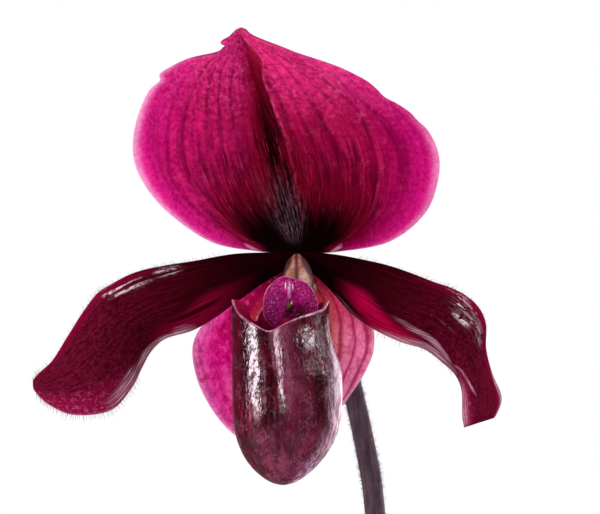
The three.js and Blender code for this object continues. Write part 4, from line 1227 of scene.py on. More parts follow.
# The two petals: long dark blades that arch out and down, and twist back along their lower
# edges. They are glossy and nearly black at the base, and their margins carry fine hairs.
PETAL_THICKNESS = 1.0
PETAL_GRID = (150, 72)
LEFT_PETAL_ROWS = [
    [[-0.3, 0.3, 0.9], [-1.3, 0.3, -1], [-2.2, 0.3, -2.8], 0],
    [[-5.8, 0.3, 0.6], [-6.6, -1, -2.1], [-7.5, -0.5, -5.8], 0.2],
    [[-13.2, 0.3, 0.2], [-12.9, -3, -4.5], [-12.5, -1.5, -9.4], 0.5],
    [[-20.7, 0, -0.9], [-19, -5, -7], [-17.2, -3, -12.9], 0.8],
    [[-27.5, 0, -1.9], [-24.7, -6.5, -9.3], [-22.2, -4, -15.6], 1],
    [[-34, -0.5, -3.6], [-31, -8, -11.8], [-27.6, -5, -17.3], 1.2],
    [[-39.2, -1.5, -6], [-35.4, -9.5, -14.5], [-30.6, -5.5, -20], 1.4],
    [[-42.5, -2.5, -7.9], [-38.7, -10.5, -17.2], [-32.7, -6.5, -23.5], 1.4],
    [[-45.1, -4, -11.7], [-41.6, -11.5, -20.1], [-34.9, -9, -27.8], 1.2],
    [[-48, -6, -17], [-45, -12, -23], [-39, -12, -32.3], 0.8],
    [[-51.1, -8, -22], [-49.2, -11, -25.5], [-46.5, -13, -33.2], 0.5],
    [[-54.2, -9, -24.8], [-53.5, -10, -27], [-52, -12, -31], 0.2],
    [[-55.4, -9.5, -26.6], [-55.4, -10, -27.3], [-55.2, -10.3, -28.1], 0],
]
RIGHT_PETAL_ROWS = [
    [[0.3, 0.3, 0.9], [1.3, 0.3, -1], [2.2, 0.3, -2.8], 0],
    [[6, 0.3, 0.4], [5.5, -1, -2.1], [4.9, -0.5, -4.9], 0.2],
    [[11.7, 0.3, -0.4], [10.4, -3, -4.7], [8.7, -1.5, -8.7], 0.5],
    [[17.7, 0, -1.9], [14.8, -5, -7], [11.7, -3, -12.1], 0.8],
    [[23.7, 0, -3.8], [19.8, -6.5, -9.9], [16.1, -4, -15.4], 1],
    [[28.8, -0.5, -5.5], [25.3, -8, -12.2], [21.7, -5, -17.9], 1.2],
    [[33.4, -1.5, -7.2], [30, -9.5, -14.3], [27.2, -6, -19.4], 1.3],
    [[37.4, -2.5, -10.2], [33.5, -10.5, -17.2], [31.6, -7, -22.9], 1.3],
    [[39.6, -4, -14], [35.8, -11.3, -20.5], [33.8, -8, -25.6], 1.2],
    [[39.9, -5, -19.5], [37, -11, -24.7], [34.9, -8.5, -28.7], 0.8],
    [[41.1, -6, -24.9], [38.1, -10.6, -28.6], [35, -9, -32.2], 0.5],
    [[42.8, -7, -29.9], [38.7, -11, -32], [34.9, -10, -34.5], 0.3],
    [[41.5, -8, -34.1], [38, -10, -35], [35, -10.5, -36], 0],
]
MARGIN_HAIR_LENGTH = (0.8, 1.9)
MARGIN_HAIR_RADIUS = 0.05
LEFT_HAIR_SEED = 11
LEFT_HAIRS = [(0, 0.2, 0.99, 130), (1, 0.62, 0.99, 75)]
RIGHT_HAIR_SEED = 12
RIGHT_HAIRS = [(0, 0.18, 0.7, 90), (1, 0.22, 0.62, 60)]


def petal_waves(u, v):
    """Long shallow ribs along a petal, and ripples near its two margins."""
    across = 2 * v - 1
    spread = ease_between(0.05, 0.3, u) * ease_between(1, 0.88, u)
    ribs = 0.05 * np.cos(2 * np.pi * 7 * across)
    rim = 0.22 * np.abs(across) ** 4 * np.sin(19 * u + 4 * np.sign(across))
    lumps = 0.16 * np.sin(16 * u + 4 * across) * np.cos(7 * across + 6 * u)
    return (ribs + rim + lumps) * spread


def margin_hairs(name, rows, seed, spans):
    """Hairs along a petal's margins. A span says which margin, from where to where, how many."""
    draw = random.Random(seed)
    surface = petal_surface(rows)
    roots, directions, lengths = [], [], []
    for margin, start, end, count in spans:
        for place_in_row in range(count):
            u = np.array([start + (end - start) * (place_in_row + draw.random()) / count])
            v = np.array([float(margin)])
            root = surface(u, v)[0]
            inside = surface(u, np.abs(v - 0.12))[0]
            ahead = surface(np.minimum(u + 0.01, 1), v)[0] - surface(np.maximum(u - 0.01, 0), v)[0]
            outward = unit((root - inside)[None])[0]
            lean = unit(ahead[None])[0] * draw.uniform(0.0, 0.5)
            stray = [draw.uniform(-0.2, 0.2), draw.uniform(-0.6, 0.4), draw.uniform(-0.2, 0.2)]
            roots.append(root)
            directions.append(outward + lean + stray)
            lengths.append(draw.uniform(*MARGIN_HAIR_LENGTH))
    return hairs(name, np.array(roots), np.array(directions), lengths, MARGIN_HAIR_RADIUS, BLOOM)


def petal_finish_for(name, flare_from, flare_to, flare_colour, darks, reflection_spots, sheens):
    """A petal's skin, with its flare of crimson streaks, its dark places, its painted reflections, and
    gloss.
    """
    material, tree = new_finish(name)
    place, along, across, edge, lines = blade_fields(tree, 7.0, 0.16, 1.2)
    grain = place.cloud(0.7, 4, 0.7).rise(0.36, 0.66)
    streaks = grained(along, across, 16.0, 24.0)
    threads = grained(along, across, 24.0, 4.0)
    fibres = grained(along, across, 56.0, 6.0, 3.0)
    crackle = place.cloud(0.9, 3, 0.6)
    wine = along.rise(0.12, 0.45).between("170206", "480414")
    wine = wine.wash("70102e", along.rise(0.5, 1.0))
    wine = wine.wash("842040", grain * along.rise(0.25, 0.7, 0.0, 0.6))
    wine = wine.wash("240209", streaks.rise(0.5, 0.38) * 0.6)
    wine = wine.wash("8c1438", threads.rise(0.52, 0.66) * along.rise(0.12, 0.3) * 0.3)
    cracks = abs(crackle - 0.5).rise(0.04, 0.0)
    wine = wine.wash("1e0208", cracks * along.rise(0.25, 0.4) * 0.45)
    upper_margin = across.rise(-0.62, -0.98) * along.rise(0.3, 0.55)
    wine = wine.wash("8c0a3a", upper_margin * 0.8)
    bank = across - along.rise(0.24, 0.42, 0.04, 0.5)
    flare = bank.rise(-0.06, 0.34) * along.rise(*flare_from) * along.rise(*flare_to)
    flare = flare * threads.rise(0.36, 0.56, 0.35, 1.0)
    wine = wine.wash(flare_colour, flare)
    lower_tip = across.rise(0.3, 0.75) * along.rise(0.62, 0.8)
    wine = wine.wash("a81450", lower_tip * 0.6)
    # Pale flecks on the grain of the lower tip: painted glints.
    wine = wine.wash("d87ca4", lower_tip * grain.rise(0.6, 1.0) * 0.35)
    wine = wine.wash("200208", lines["Vein"] * 0.3)
    wine = wine.wash("28030c", lines["Net"] * 0.15)
    wine = wine.wash("2a020c", all_of(along, across, darks) * 0.9)
    # Painted reflections of the bright surround where the margins curl back: broad and pale, with finer
    # paler streaks.
    grazing_reflection = all_of(along, across, reflection_spots)
    wine = wine.wash("b47490", grazing_reflection * fibres.rise(0.4, 0.56, 0.15, 0.75))
    wine = wine.wash("f8ecf4", grazing_reflection * fibres.rise(0.54, 0.64) * 0.9)
    pale_rim = edge.rise(0.94, 1.0) * along.rise(0.55, 0.8) * grain.rise(0.0, 1.0, 0.3, 0.9)
    wine = wine.wash("c87c9c", pale_rim)
    surface = lines["Vein"].relief(-0.06, strength=0.3)
    surface = grain.relief(0.06, surface, 0.4)
    sheen = all_of(along, across, sheens) * streaks.larger(crackle).rise(0.48, 0.56)
    shade(tree, wine, 0.42, surface, glow=0.3, Specular_IOR_Level=0.0,
          Coat_Weight=sheen, Coat_Roughness=0.12, Coat_IOR=1.8)
    return material


left_petal = blade(
    "left_petal_blade", petal_surface(LEFT_PETAL_ROWS), *PETAL_GRID, PETAL_THICKNESS,
    petal_waves, -1, BLOOM,
)
right_petal = blade(
    "right_petal_blade", petal_surface(RIGHT_PETAL_ROWS), *PETAL_GRID, PETAL_THICKNESS,
    petal_waves, 1, BLOOM,
)
left_hairs = margin_hairs("left_petal_hairs", LEFT_PETAL_ROWS, LEFT_HAIR_SEED, LEFT_HAIRS)
right_hairs = margin_hairs("right_petal_hairs", RIGHT_PETAL_ROWS, RIGHT_HAIR_SEED, RIGHT_HAIRS)
# The second list of each petal places its painted reflections; the third, its gloss.
left_skin = petal_finish_for(
    "left_petal_skin", (0.08, 0.3), (0.5, 0.36), "a00a40",
    [((0.3, 0.5), (0.12, 0.12), 0.4)],
    [((0.36, 0.9), (0.05, 0.2)), ((0.52, 0.95), (0.2, 0.2)), ((0.67, 0.9), (0.1, 0.24))],
    [((0.5, -0.8), (0.14, 0.2), -1.0), ((0.335, -0.8), (0.05, 0.2)), ((0.6, -0.8), (0.07, 0.24))],
)
right_skin = petal_finish_for(
    "right_petal_skin", (0.12, 0.28), (0.5, 0.38), "dc0858",
    [((0.2, 0.86), (0.15, 0.26), 0.4)],
    [((0.49, 0.57), (0.15, 0.13), 1.8), ((0.5, 0.94), (0.2, 0.24)), ((0.73, 0.45), (0.13, 0.08), -2.8),
     ((0.86, 0.9), (0.2, 0.36)), ((0.22, 0.9), (0.09, 0.06), 0.3), ((0.92, -0.96), (0.14, 0.16))],
    [((0.59, -0.56), (0.13, 0.34), 0.4), ((0.523, -0.085), (0.07, 0.05), 0.5),
     ((0.525, -0.9), (0.06, 0.12))],
)
settle(left_petal, left_skin, "petal", "petal_left")
settle(right_petal, right_skin, "petal", "petal_right")
settle(left_hairs, hair_finish, "petal")
settle(right_hairs, hair_finish, "petal")


# The lip: a hollow slipper-shaped pouch, glossy and wrinkled, whose mouth has two ears and
# a notch in front. Its wall is one thin skin, pale along the cut of the rim.
LIP_THICKNESS = 0.9
TOE = (-2.9, -12, -47.9)
TOE_HEIGHT = 16
TOE_POWER = 0.6
POUCH_HALF_WIDTH = 11.5
POUCH_HALF_DEPTH = 10.5
BELLY_LEVEL = -26
MOUTH_LEVEL = -14
MOUTH_NARROWING = 0.1
BELLY_DRIFT = 0.9
MOUTH_DRIFT = (-1.4, 3.2)
GROOVE_ANGLE = -12
GROOVE_SPREAD = 9
GROOVE_DEPTH = 1
GROOVE_RISE = 20
LIP_ROW_POWER = 1.7
LOBE_START = (84, 104)
LOBE_END = (136, 152)
LOBE_ROLL = 0.24
LOBE_SHARE = 0.14
CLAW_ANGLES = (125, 160)
CLAW_RISE = 9
RIM = [
    [-180, -3.2], [-169, -5], [-158, -10], [-147, -13.4], [-128, -14], [-112, -12.2], [-99, -9.6],
    [-90, -9], [-79, -9.3], [-67, -11.2], [-50, -12.8], [-30, -14.3], [-13, -15.8], [8, -13.6],
    [28, -12.3], [50, -11.4], [63, -11], [73, -9.7], [84, -9.2], [96, -9.7], [110, -12],
    [127, -14], [147, -13.4], [158, -10], [169, -5], [180, -3.2],
]
LIP_SIDES = 192
LIP_LEVELS = 110
WRINKLE_DEPTH = 0.13


def rim_height(angles):
    """The height of the lip's rim at angles in degrees round it."""
    stops = np.array(RIM, float)
    nearby = (angles[:, None] + np.linspace(-6, 6, 9) + 180) % 360 - 180
    return np.interp(nearby, stops[:, 0], stops[:, 1]).mean(axis=1)


def lip_surface(angles, shares):
    """The outside of the lip, from angles round it and shares of the way from toe to rim."""
    height = TOE[2] + (rim_height(angles) - TOE[2]) * shares ** LIP_ROW_POWER
    risen = height - TOE[2]
    bowl = np.maximum(0, 1 - np.maximum(0, 1 - risen / TOE_HEIGHT) ** 2) ** TOE_POWER
    mouth = ease_between(BELLY_LEVEL, MOUTH_LEVEL, height)
    belly = BELLY_DRIFT * ease(risen / TOE_HEIGHT)
    backward = np.minimum(1, risen / (MOUTH_LEVEL - TOE[2]))
    around = np.radians(angles)
    from_front = np.abs(angles)
    groove = np.exp(-(((angles - GROOVE_ANGLE) / GROOVE_SPREAD) ** 2)) * ease(risen / GROOVE_RISE)
    lobe = ease_between(*LOBE_START, from_front) * (1 - ease_between(*LOBE_END, from_front))
    roll = 1 - LOBE_ROLL * lobe * ease_between(1 - LOBE_SHARE, 1, shares)
    narrow = 1 - MOUTH_NARROWING * mouth
    claw = ease_between(*CLAW_ANGLES, from_front) * ease((height - MOUTH_LEVEL) / CLAW_RISE)
    width = POUCH_HALF_WIDTH * bowl * narrow * roll
    depth = POUCH_HALF_DEPTH * bowl * narrow
    return np.stack([
        (TOE[0] + belly + MOUTH_DRIFT[0] * mouth) * (1 - claw) + width * np.sin(around),
        TOE[1] + MOUTH_DRIFT[1] * backward - (depth - GROOVE_DEPTH * groove) * np.cos(around),
        height,
    ], axis=1)


def wrinkles(places):
    """The net of soft wrinkles in the pouch, longer than they are wide, from -1 to 1."""
    heights = []
    for x, y, z in places:
        broad = noise.noise(Vector((x * 0.34 + z * 0.06, y * 0.34, z * 0.2)))
        fine = 1 - 2 * abs(noise.noise(Vector((x * 0.9 + 9, y * 0.9, z * 0.4))))
        heights.append(0.75 * broad + 0.45 * (fine - 0.6))
    return np.array(heights)


levels = np.arange(1, LIP_LEVELS + 1) / LIP_LEVELS
lip_angles = np.tile(-180 + 360 * np.arange(LIP_SIDES) / LIP_SIDES, LIP_LEVELS)
lip_shares = np.repeat(levels, LIP_SIDES)
outside = lip_surface(lip_angles, lip_shares)
around_it = lip_surface(lip_angles + 1, lip_shares) - lip_surface(lip_angles - 1, lip_shares)
above = lip_surface(lip_angles, np.minimum(1, lip_shares + 0.005))
up_it = above - lip_surface(lip_angles, lip_shares - 0.005)
inward = unit(np.cross(up_it, around_it))
calm = ease_between(1.0, 0.9, lip_shares) * ease_between(0, 0.12, lip_shares)
lifted = (WRINKLE_DEPTH * wrinkles(outside) * calm)[:, None]
outside = outside - inward * lifted
wall = LIP_THICKNESS * (1 - 0.35 * ease_between(0.93, 1, lip_shares))[:, None]
inside = outside + inward * wall
toe = np.array([TOE])
lip_points = np.vstack([toe, outside, toe + [0, 0, LIP_THICKNESS], inside]) + np.array(BLOOM)
lip_size = 1 + len(outside)
lip_faces = []
for side in range(LIP_SIDES):
    after = (side + 1) % LIP_SIDES
    lip_faces.append((0, 1 + after, 1 + side))
    lip_faces.append((lip_size, lip_size + 1 + side, lip_size + 1 + after))
    for level in range(LIP_LEVELS - 1):
        a = 1 + level * LIP_SIDES + side
        b = 1 + level * LIP_SIDES + after
        lip_faces.append((a, b, b + LIP_SIDES, a + LIP_SIDES))
        c, d = lip_size + a, lip_size + b
        lip_faces.append((c, c + LIP_SIDES, d + LIP_SIDES, d))
    a = 1 + (LIP_LEVELS - 1) * LIP_SIDES + side
    b = 1 + (LIP_LEVELS - 1) * LIP_SIDES + after
    lip_faces.append((a, b, lip_size + b, lip_size + a))
lip = add_piece("lip_pouch", lip_points * MM, lip_faces, {
    "along": np.tile(np.concatenate([[0], lip_shares]), 2),
    "around": np.tile(np.concatenate([[0], lip_angles / 180]), 2),
    "back": np.repeat([0.0, 1.0], lip_size),
})

# The skin of the pouch and the shield: tiny cells that catch the light, under soft clouds.
cell_skin, given, made = new_group("cell_skin", {"Place": "Vector", "Cell": "Float"}, ["Height", "Frost"])
per_metre = 1.0 / given["Cell"]
cells = node(cell_skin, "ShaderNodeTexVoronoi", {"Vector": given["Place"], "Scale": per_metre})
join(cell_skin, 1.0 - cells["Distance"], made["Height"])
frost = node(cell_skin, "ShaderNodeTexNoise",
             {"Vector": given["Place"], "Scale": per_metre * 0.55, "Detail": 4.0, "Roughness": 0.62})[0]
join(cell_skin, frost, made["Frost"])

lip_finish, tree = new_finish("pouch_skin")
place = place_of(tree)
along = layer_of(tree, "along")
around = layer_of(tree, "around")
skin_cells = use_group(tree, cell_skin, {"Place": place, "Cell": 0.5 * MM})
streaks = place.stretched((1.0, 1.0, 0.2)).cloud(1.7, 3)
patches = place.cloud(5.5, 3)
wine = streaks.rise(0.36, 0.68).between("2c010c", "5a041c")
# Mauve at the toe: a painted reflection of the floor.
toe_reflection = along.rise(0.66, 0.46) * abs(around).rise(0.32, 0.12)
toe_reflection = toe_reflection * streaks.rise(0.3, 0.6, 0.4, 1.0) * patches.rise(0.38, 0.56, 0.45, 1.0)
wine = wine.wash("803450", toe_reflection)
slant = around - along.rise(0.94, 0.62, -0.01, 0.07)
# A mauve band slanting down the front: a painted soft reflection. The coat is less glossy there.
front_sheen = slant.rise(-0.09, -0.05) * slant.rise(0.13, 0.03)
front_sheen = front_sheen * along.rise(0.54, 0.63) * patches.rise(0.34, 0.62, 0.5, 1.0)
wine = wine.wash("74304a", front_sheen)
wine = wine.wash("6c1030", skin_cells["Frost"].rise(0.5, 0.75) * 0.25)
rim_line = along.rise(0.993, 0.999) * place.cloud(2.5, 2).rise(0.4, 0.6, 0.35, 0.95)
wine = wine.wash("e49ab4", rim_line)
# Pale lilac threads on the right flank: a painted reflection of the bright surround at a grazing angle.
lower_right = around + along.rise(0.6, 0.25, 0.0, 0.14)
grazing_reflection = lower_right.rise(0.24, 0.4) * around.rise(0.62, 0.5) * along.rise(0.92, 0.7)
threads = place.stretched((1.0, 1.0, 0.25)).cloud(0.8, 3).rise(0.4, 0.62, 0.25, 1.0)
wine = wine.wash("cc8cb4", grazing_reflection * threads * 0.85)
within = patches.rise(0.4, 0.65).between("8a0a38", "b01c54")
within = within.wash("3a0418", place.cloud(0.8, 2).rise(0.56, 0.64) * along.rise(0.9, 0.75))
# Fine pale lines in patches: painted glints on the wrinkles.
glint_net = abs(place.stretched((1.0, 1.0, 0.6)).cloud(1.6, 4, 0.65) - 0.5)
patchy = place.cloud(3.2, 2).rise(0.42, 0.62)
wine = wine.wash("bc849c", glint_net.rise(0.04, 0.0) * patchy * 0.22)
# Painted shade in the valleys between the wrinkles.
valley_shade = place.stretched((1.0, 1.0, 0.6)).cloud(1.1, 4, 0.6)
valley_shade = abs(valley_shade - 0.5).rise(0.05, 0.0)
wine = wine.wash("26010a", valley_shade * 0.6)
skin = layer_of(tree, "back").between(wine, within)
folds = place.stretched((1.0, 1.0, 0.45)).cloud(1.8, 2)
folds = abs(folds - 0.5).rise(0.0, 0.14)
crinkles = place.stretched((1.0, 1.0, 0.8)).cloud(0.75, 3)
crinkles = abs(crinkles - 0.5).rise(0.0, 0.1)
surface = folds.relief(0.05, strength=0.6)
surface = crinkles.relief(0.02, surface, 0.7)
gloss = along.rise(0.58, 0.7, 0.1, 1.0) * place.cloud(1.3, 4, 0.7).rise(0.4, 0.54, 0.15, 1.0)
gloss = gloss * front_sheen.rise(0.0, 1.0, 1.0, 0.35)
calm_side = around.rise(0.06, 0.12) * around.rise(0.27, 0.2) * along.rise(0.92, 0.86)
calm_line = slant.rise(-0.15, -0.12) * slant.rise(-0.07, -0.09)
gloss = gloss * calm_side.larger(calm_line).rise(0.0, 1.0, 1.0, 0.15)
gloss = gloss * around.rise(-0.4, -0.26)
bright_side = around.rise(0.2, 0.32) * around.rise(0.6, 0.5) * threads.rise(0.25, 1.0, 0.4, 1.0)
gloss = gloss.larger(bright_side)
shade(tree, skin, 0.5, surface, glow=0.1, Specular_IOR_Level=0.03,
      Coat_Weight=gloss, Coat_Roughness=0.07, Coat_IOR=1.9, Coat_Normal=surface)
settle(lip, lip_finish, "lip", "lip")


# The column: the short fleshy neck between pouch and hood, tan with a maroon line down its
# front. It bears two anthers with sticky yellow pollen and, under the shield, the stigma.
COLUMN_RINGS = [
    [[0, 2.3, -1.6], 1.1, 1.1],
    [[0, -0.3, -1.6], 1.1, 1.1],
    [[0, -0.9, -1.2], 1.1, 1.7],
    [[0, -2.2, -2.1], 2.3, 2.2],
    [[0.2, -4.2, -3.7], 3, 2.8],
    [[0.2, -6.8, -6], 3.3, 2.9],
    [[-0.6, -8.3, -7.2], 2.7, 2.5],
]
ANTHER_RADIUS = 1.3
ANTHER_PLACES = [[-3, -5.6, -6.4], [2.9, -5.6, -6.8]]
STIGMA_SIZE = (2.6, 2, 2.4)
STIGMA_PLACE = (-0.2, -5.4, -8.2)
COLUMN_STEPS = 49
COLUMN_SIDES = 48
BALL_STEPS = 25
BALL_SIDES = 36


def ball(name, sizes, centre, lumps, seed):
    """A soft lumpy knob, in millimetres from the bloom's centre."""
    rings = []
    for lift in np.linspace(-0.49, 0.49, BALL_STEPS) * np.pi:
        angles = np.linspace(0, 2 * np.pi, BALL_SIDES, endpoint=False)
        ring = np.stack([
            np.cos(angles) * math.cos(lift),
            np.sin(angles) * math.cos(lift),
            np.full(BALL_SIDES, math.sin(lift)),
        ], axis=1)
        for spot in ring:
            spot *= 1 + lumps * noise.noise(Vector(spot * 2.2) + Vector((seed, 0, 0)))
        rings.append(ring * np.array(sizes) + np.array(centre))
    return loft(name, rings, BLOOM)


column_line = curve_through([[*centre, width, height] for centre, width, height in COLUMN_RINGS])
column_rings = []
for cx, cy, cz, half_width, half_height in column_line(np.linspace(0, 1, COLUMN_STEPS)):
    angles = np.linspace(0, 2 * np.pi, COLUMN_SIDES, endpoint=False)
    crease = 1 - 0.05 * np.exp(-(((angles - np.pi / 2) / 0.16) ** 2))
    column_rings.append(np.stack([
        cx + half_width * crease * np.cos(angles),
        np.full(COLUMN_SIDES, cy),
        cz + half_height * crease * np.sin(angles),
    ], axis=1))
column = loft("column_body", column_rings, BLOOM)
column_finish, tree = new_finish("column_skin")
place = place_of(tree)
tan = place.cloud(2.2, 3).rise(0.35, 0.65).between("8c5c44", "b89074")
tan = tan.wash("94505c", layer_of(tree, "along").rise(0.75, 0.4, 0.0, 0.35))
x_place = place.part("X")
from_middle = abs(x_place - (BLOOM[0] - 0.1) * MM)
wander = place.cloud(1.0, 2) * (0.3 * MM)
line = (from_middle + wander).rise(0.85 * MM, 0.2 * MM)
tan = tan.wash("4c0c20", line * 0.9)
z_place = place.part("Z")
# Painted shade down the flanks, which leaves a narrower tan face.
half_tan = z_place.rise((BLOOM[2] - 0.6) * MM, (BLOOM[2] - 5.5) * MM, 0.5 * MM, 2.5 * MM)
flank_shade = (from_middle - half_tan).rise(0.0, 0.8 * MM, 0.0, 0.92)
tan = tan.wash("300812", flank_shade)
dots = place.cloud(0.5, 1).rise(0.6, 0.68)
tan = tan.wash("6c1c34", dots * 0.6)
shade(tree, tan, 0.42, place.cloud(0.4, 2).relief(0.1, strength=0.6), glow=0.12)
settle(column, column_finish, "column", "column")

pollen_finish, tree = new_finish("pollen")
place = place_of(tree)
yellow = place.cloud(0.6, 3).between("5c3a20", "94703a")
shade(tree, yellow, 0.35, place.cloud(0.35, 3).relief(0.12, strength=0.8))
for number, centre in enumerate(ANTHER_PLACES):
    anther = ball(f"anther_{number + 1}", [ANTHER_RADIUS] * 3, centre, 0.1, number)
    settle(anther, pollen_finish, "column")
stigma = ball("stigma", STIGMA_SIZE, STIGMA_PLACE, 0.06, 5)
settle(stigma, column_finish, "column")


# The shield, or staminode: a flat sterile stamen that covers the pouch's mouth, notched
# below. It is grainy purple with painted sparkle, a crest with painted highlights and glints,
# and a green-yellow spot in the middle.
SHIELD_OUTLINE = [
    [-1.9, -4.3], [-0.2, -4.8], [1.3, -5.2], [2.7, -6.2], [3.8, -8], [4.4, -9.9], [4.3, -11.6],
    [3.4, -13.4], [1.9, -14.6], [0.5, -14.2], [-0.4, -13.2], [-1.6, -12.9], [-2.9, -13.2],
    [-3.8, -14.5], [-4.6, -15.1], [-5.9, -14.1], [-6.9, -12.8], [-7.1, -10.9], [-7, -8.9],
    [-6.3, -6.9], [-5, -5.5], [-3.4, -4.4],
]
SHIELD_CENTRE = (-1.5, -9.4)
SHIELD_BACK = -8.6
SHIELD_THICKNESS = 0.8
SHIELD_DOME = 1.3
SHIELD_DOME_POWER = 2.4
SHIELD_HOLLOW = 0.35
CREST_X = -1.6
CREST_TOP = -4.8
CREST_FOOT = -9
SPOT_PLACE = (-1.6, -10.3)
SHIELD_POINTS = 180
SHIELD_RINGS = 44

outline = np.array(SHIELD_OUTLINE + SHIELD_OUTLINE[:3], float)
closed = curve_through([SHIELD_OUTLINE[-1], *outline])
turns = (1 + np.arange(SHIELD_POINTS) * len(SHIELD_OUTLINE) / SHIELD_POINTS) / (len(SHIELD_OUTLINE) + 3)
outline = closed(turns)
middle = np.array(SHIELD_CENTRE)


def shield_ring(share, front):
    """One ring of the shield, drawn in from its outline by a share."""
    across = middle + (outline - middle) * share
    dome = SHIELD_DOME * (1 - share ** SHIELD_DOME_POWER)
    if not front:
        depth = np.full(len(across), SHIELD_BACK - SHIELD_HOLLOW * dome)
        return np.stack([across[:, 0], depth, across[:, 1]], axis=1)
    crest = np.exp(-(((across[:, 0] - CREST_X) / 0.35) ** 2))
    above_foot = ease_between(CREST_FOOT - 0.8, CREST_FOOT, across[:, 1])
    crest *= above_foot * ease_between(CREST_TOP, CREST_TOP - 1.2, across[:, 1])
    off_spot = across - np.array(SPOT_PLACE)
    knob = np.exp(-((off_spot[:, 0] / 0.7) ** 2 + (off_spot[:, 1] / 1.1) ** 2))
    rim = 0.18 * ease_between(0.86, 0.95, share) * ease_between(1.02, 0.97, share)
    grain = np.array([noise.noise(Vector((x * 2.1, z * 2.1, 0))) for x, z in across])
    raised = 0.45 * crest + 0.5 * knob + rim + 0.1 * grain * ease_between(1, 0.9, share)
    depth = SHIELD_BACK - SHIELD_THICKNESS - dome - raised
    return np.stack([across[:, 0], depth, across[:, 1]], axis=1)


inwards = np.linspace(0.02, 1, SHIELD_RINGS)
shield_rings = [shield_ring(share, True) for share in inwards]
shield_rings += [shield_ring(share, False) for share in inwards[::-1]]
shield = loft("shield_plate", shield_rings, BLOOM)
shield_finish, tree = new_finish("shield_skin")
place = place_of(tree)
x_place, z_place = place.part("X"), place.part("Z")
along = layer_of(tree, "along")
skin_cells = use_group(tree, cell_skin, {"Place": place, "Cell": 0.32 * MM})
frost = skin_cells["Frost"].rise(0.4, 0.68)
purple = frost.between("8c0450", "c8208c")
purple = purple.wash("5a0a3c", place.cloud(2.4, 2).rise(0.4, 0.7, 0.0, 0.5))


def near(x, z, reach_x, reach_z):
    """One at a place on the front of the bloom, falling to nothing over its reach."""
    off_x = (x_place - (BLOOM[0] + x) * MM) / (reach_x * MM)
    off_z = (z_place - (BLOOM[2] + z) * MM) / (reach_z * MM)
    return (off_x * off_x + off_z * off_z).root().rise(1.0, 0.15)


purple = purple.wash("5c0044", near(-5.2, -10.5, 4.2, 5.5) * 0.5)
purple = purple.wash("3c0414", near(0.4, -12, 3.6, 2.8) * 0.85)
purple = purple.wash("38081c", near(SPOT_PLACE[0], SPOT_PLACE[1] - 0.4, 1.5, 2.1))
purple = purple.wash("6c5c34", near(*SPOT_PLACE, 0.7, 1.1))
# A painted highlight down the crest, and painted glints on it and beside the spot.
purple = purple.wash("d890c0", near(CREST_X, -7, 0.6, 2.6) * 0.6)
painted_glints = near(CREST_X, -6.6, 0.32, 1.9) * frost.rise(0.2, 0.6)
painted_glints = painted_glints.larger(near(CREST_X - 0.8, -6.2, 0.22, 1.1))
painted_glints = painted_glints.larger(near(CREST_X + 0.7, -6.4, 0.2, 1.0))
painted_glints = painted_glints.larger(near(SPOT_PLACE[0] + 0.5, SPOT_PLACE[1] + 0.5, 0.22, 0.5))
purple = purple.wash("fcecf4", painted_glints * 0.9)
pale_rim = along.rise(0.475, 0.497) * along.rise(0.53, 0.505)
pale_rim = pale_rim * place.cloud(1.4, 2).rise(0.4, 0.6, 0.2, 0.9)
purple = purple.wash("e8b4d4", pale_rim)
# Fine white specks: painted sparkle.
sparkle_specks = place.cloud(0.22, 2).rise(0.63, 0.7, 0.0, 0.7)
purple = purple.wash("f4c4e4", sparkle_specks * along.rise(0.12, 0.3))
surface = skin_cells["Height"].relief(0.12, strength=0.8)
surface = skin_cells["Frost"].relief(0.2, surface, 0.7)
shade(tree, purple, skin_cells["Frost"].rise(0.3, 0.7, 0.22, 0.4), surface, glow=0.15,
      Specular_IOR_Level=0.06)
settle(shield, shield_finish, "shield", "staminode")


# The studio: a pale floor and a white surround, with soft boxes at the front and overhead.
# The surround is bright behind the bloom, so that light comes through its sepals.
FLOOR_RADIUS = 1300
FLOOR_SIDES = 96
FLOOR_BRIGHTENS_FROM = 250
FLOOR_GLOW = 0.6
CAMERA_DISTANCE = 600
CAMERA_AIM_X = -23.36
CAMERA_HEIGHT = 324.787
LENS = 168.75
SENSOR = 36
SURROUND_BEHIND = 3.2
SURROUND_FRONT = 0.03
SURROUND_TURN = 30
SURROUND_SPREAD = (0.35, 0.8)
SURROUND_CAST = (1, 0.91, 0.97, 1)
LAMP_CAST = (1, 0.86, 0.95)
SOFT_BOXES = [
    {"name": "left", "turn": -64, "lift": 8, "distance": 900, "size": (420, 560), "watts": 9.5},
    {"name": "right", "turn": 62, "lift": 22, "distance": 900, "size": (480, 230), "watts": 3},
    {"name": "front", "turn": -16, "lift": 12, "distance": 900, "size": (320, 360), "watts": 0.6},
    {"name": "left_top", "turn": -139, "lift": 66, "distance": 750, "size": (250, 350), "watts": 2.4},
    {"name": "right_top", "turn": 67, "lift": 57, "distance": 750, "size": (400, 200), "watts": 3.4},
]

floor_points, floor_faces = [(0, 0, 0)], []
for side in range(FLOOR_SIDES):
    angle = 2 * math.pi * side / FLOOR_SIDES
    floor_points.append((FLOOR_RADIUS * math.cos(angle), FLOOR_RADIUS * math.sin(angle), 0))
    floor_faces.append((0, 1 + side, 1 + (side + 1) % FLOOR_SIDES))
studio_floor = add_piece("studio_floor", np.array(floor_points) * MM, floor_faces)
floor_finish, tree = new_finish("floor_paper")
paper = place_of(tree).cloud(60, 2).between("e2ece4", "e7f1e9")
far_out = node(tree, "ShaderNodeVectorMath", {0: place_of(tree)}, operation="LENGTH")["Value"]
# Painted light: the floor glows more and more further out, so that it fades into the surround.
far_glow = far_out.rise(FLOOR_BRIGHTENS_FROM * MM, FLOOR_RADIUS * MM, 0.0, 0.8)
far_glow = far_glow.between("000000", "ffffff")
shade(tree, paper, 0.9, Emission_Color=far_glow, Emission_Strength=FLOOR_GLOW)
studio_floor.data.materials.append(floor_finish)

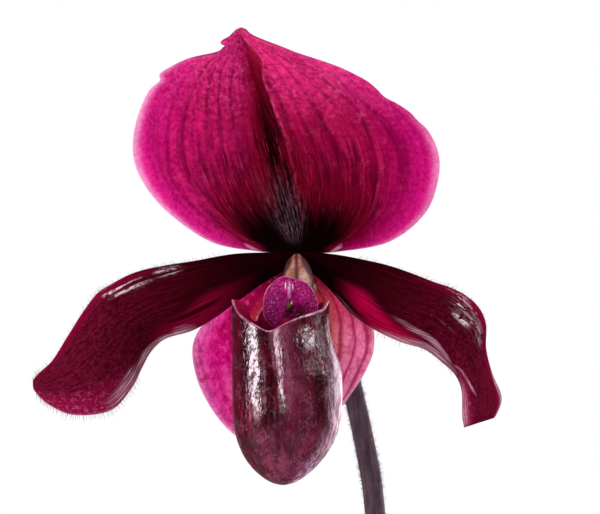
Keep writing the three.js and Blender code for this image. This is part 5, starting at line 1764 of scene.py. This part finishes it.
world = bpy.data.worlds.new("surround")
bpy.context.scene.world = world
world.use_nodes = True
tree = world.node_tree
direction = node(tree, "ShaderNodeTexCoord")["Generated"]
turn = math.radians(SURROUND_TURN)
brightest = (math.sin(turn), math.cos(turn), 0)
ahead = node(tree, "ShaderNodeVectorMath", {0: direction, 1: brightest},
             operation="DOT_PRODUCT")["Value"]
strength = ahead.rise(*SURROUND_SPREAD, SURROUND_FRONT, SURROUND_BEHIND)
to_camera = node(tree, "ShaderNodeLightPath")["Is Camera Ray"]
strength = node(tree, "ShaderNodeMix", {0: to_camera, 2: strength, 3: 1.0})[0]
cast = to_camera.between(SURROUND_CAST, "ffffff")
join(tree, cast, tree.nodes["Background"].inputs["Color"])
join(tree, strength, tree.nodes["Background"].inputs["Strength"])

bloom_place = Vector(BLOOM) * MM
for box in SOFT_BOXES:
    turn, lift = math.radians(box["turn"]), math.radians(box["lift"])
    flat = math.cos(lift)
    towards = Vector((math.sin(turn) * flat, -math.cos(turn) * flat, math.sin(lift)))
    box_name = f"{box['name']}_box"
    lamp = bpy.data.lights.new(box_name, "AREA")
    lamp.shape = "RECTANGLE"
    lamp.size = box["size"][0] * MM
    lamp.size_y = box["size"][1] * MM
    lamp.energy = box["watts"]
    lamp.color = LAMP_CAST
    soft_box = bpy.data.objects.new(box_name, lamp)
    soft_box.location = bloom_place + towards * box["distance"] * MM
    soft_box.rotation_euler = (-towards).to_track_quat("-Z", "Y").to_euler()
    soft_box.visible_camera = False
    bpy.context.scene.collection.objects.link(soft_box)

lens = bpy.data.cameras.new("camera")
lens.sensor_width = SENSOR
lens.lens = LENS
lens.clip_start = 0.01
camera = bpy.data.objects.new("camera", lens)
camera.location = (CAMERA_AIM_X * MM, (BLOOM[1] - CAMERA_DISTANCE) * MM, CAMERA_HEIGHT * MM)
camera.rotation_euler = (math.radians(90), 0, 0)
bpy.context.scene.collection.objects.link(camera)
bpy.context.scene.camera = camera
bpy.context.scene.view_settings.view_transform = "Standard"
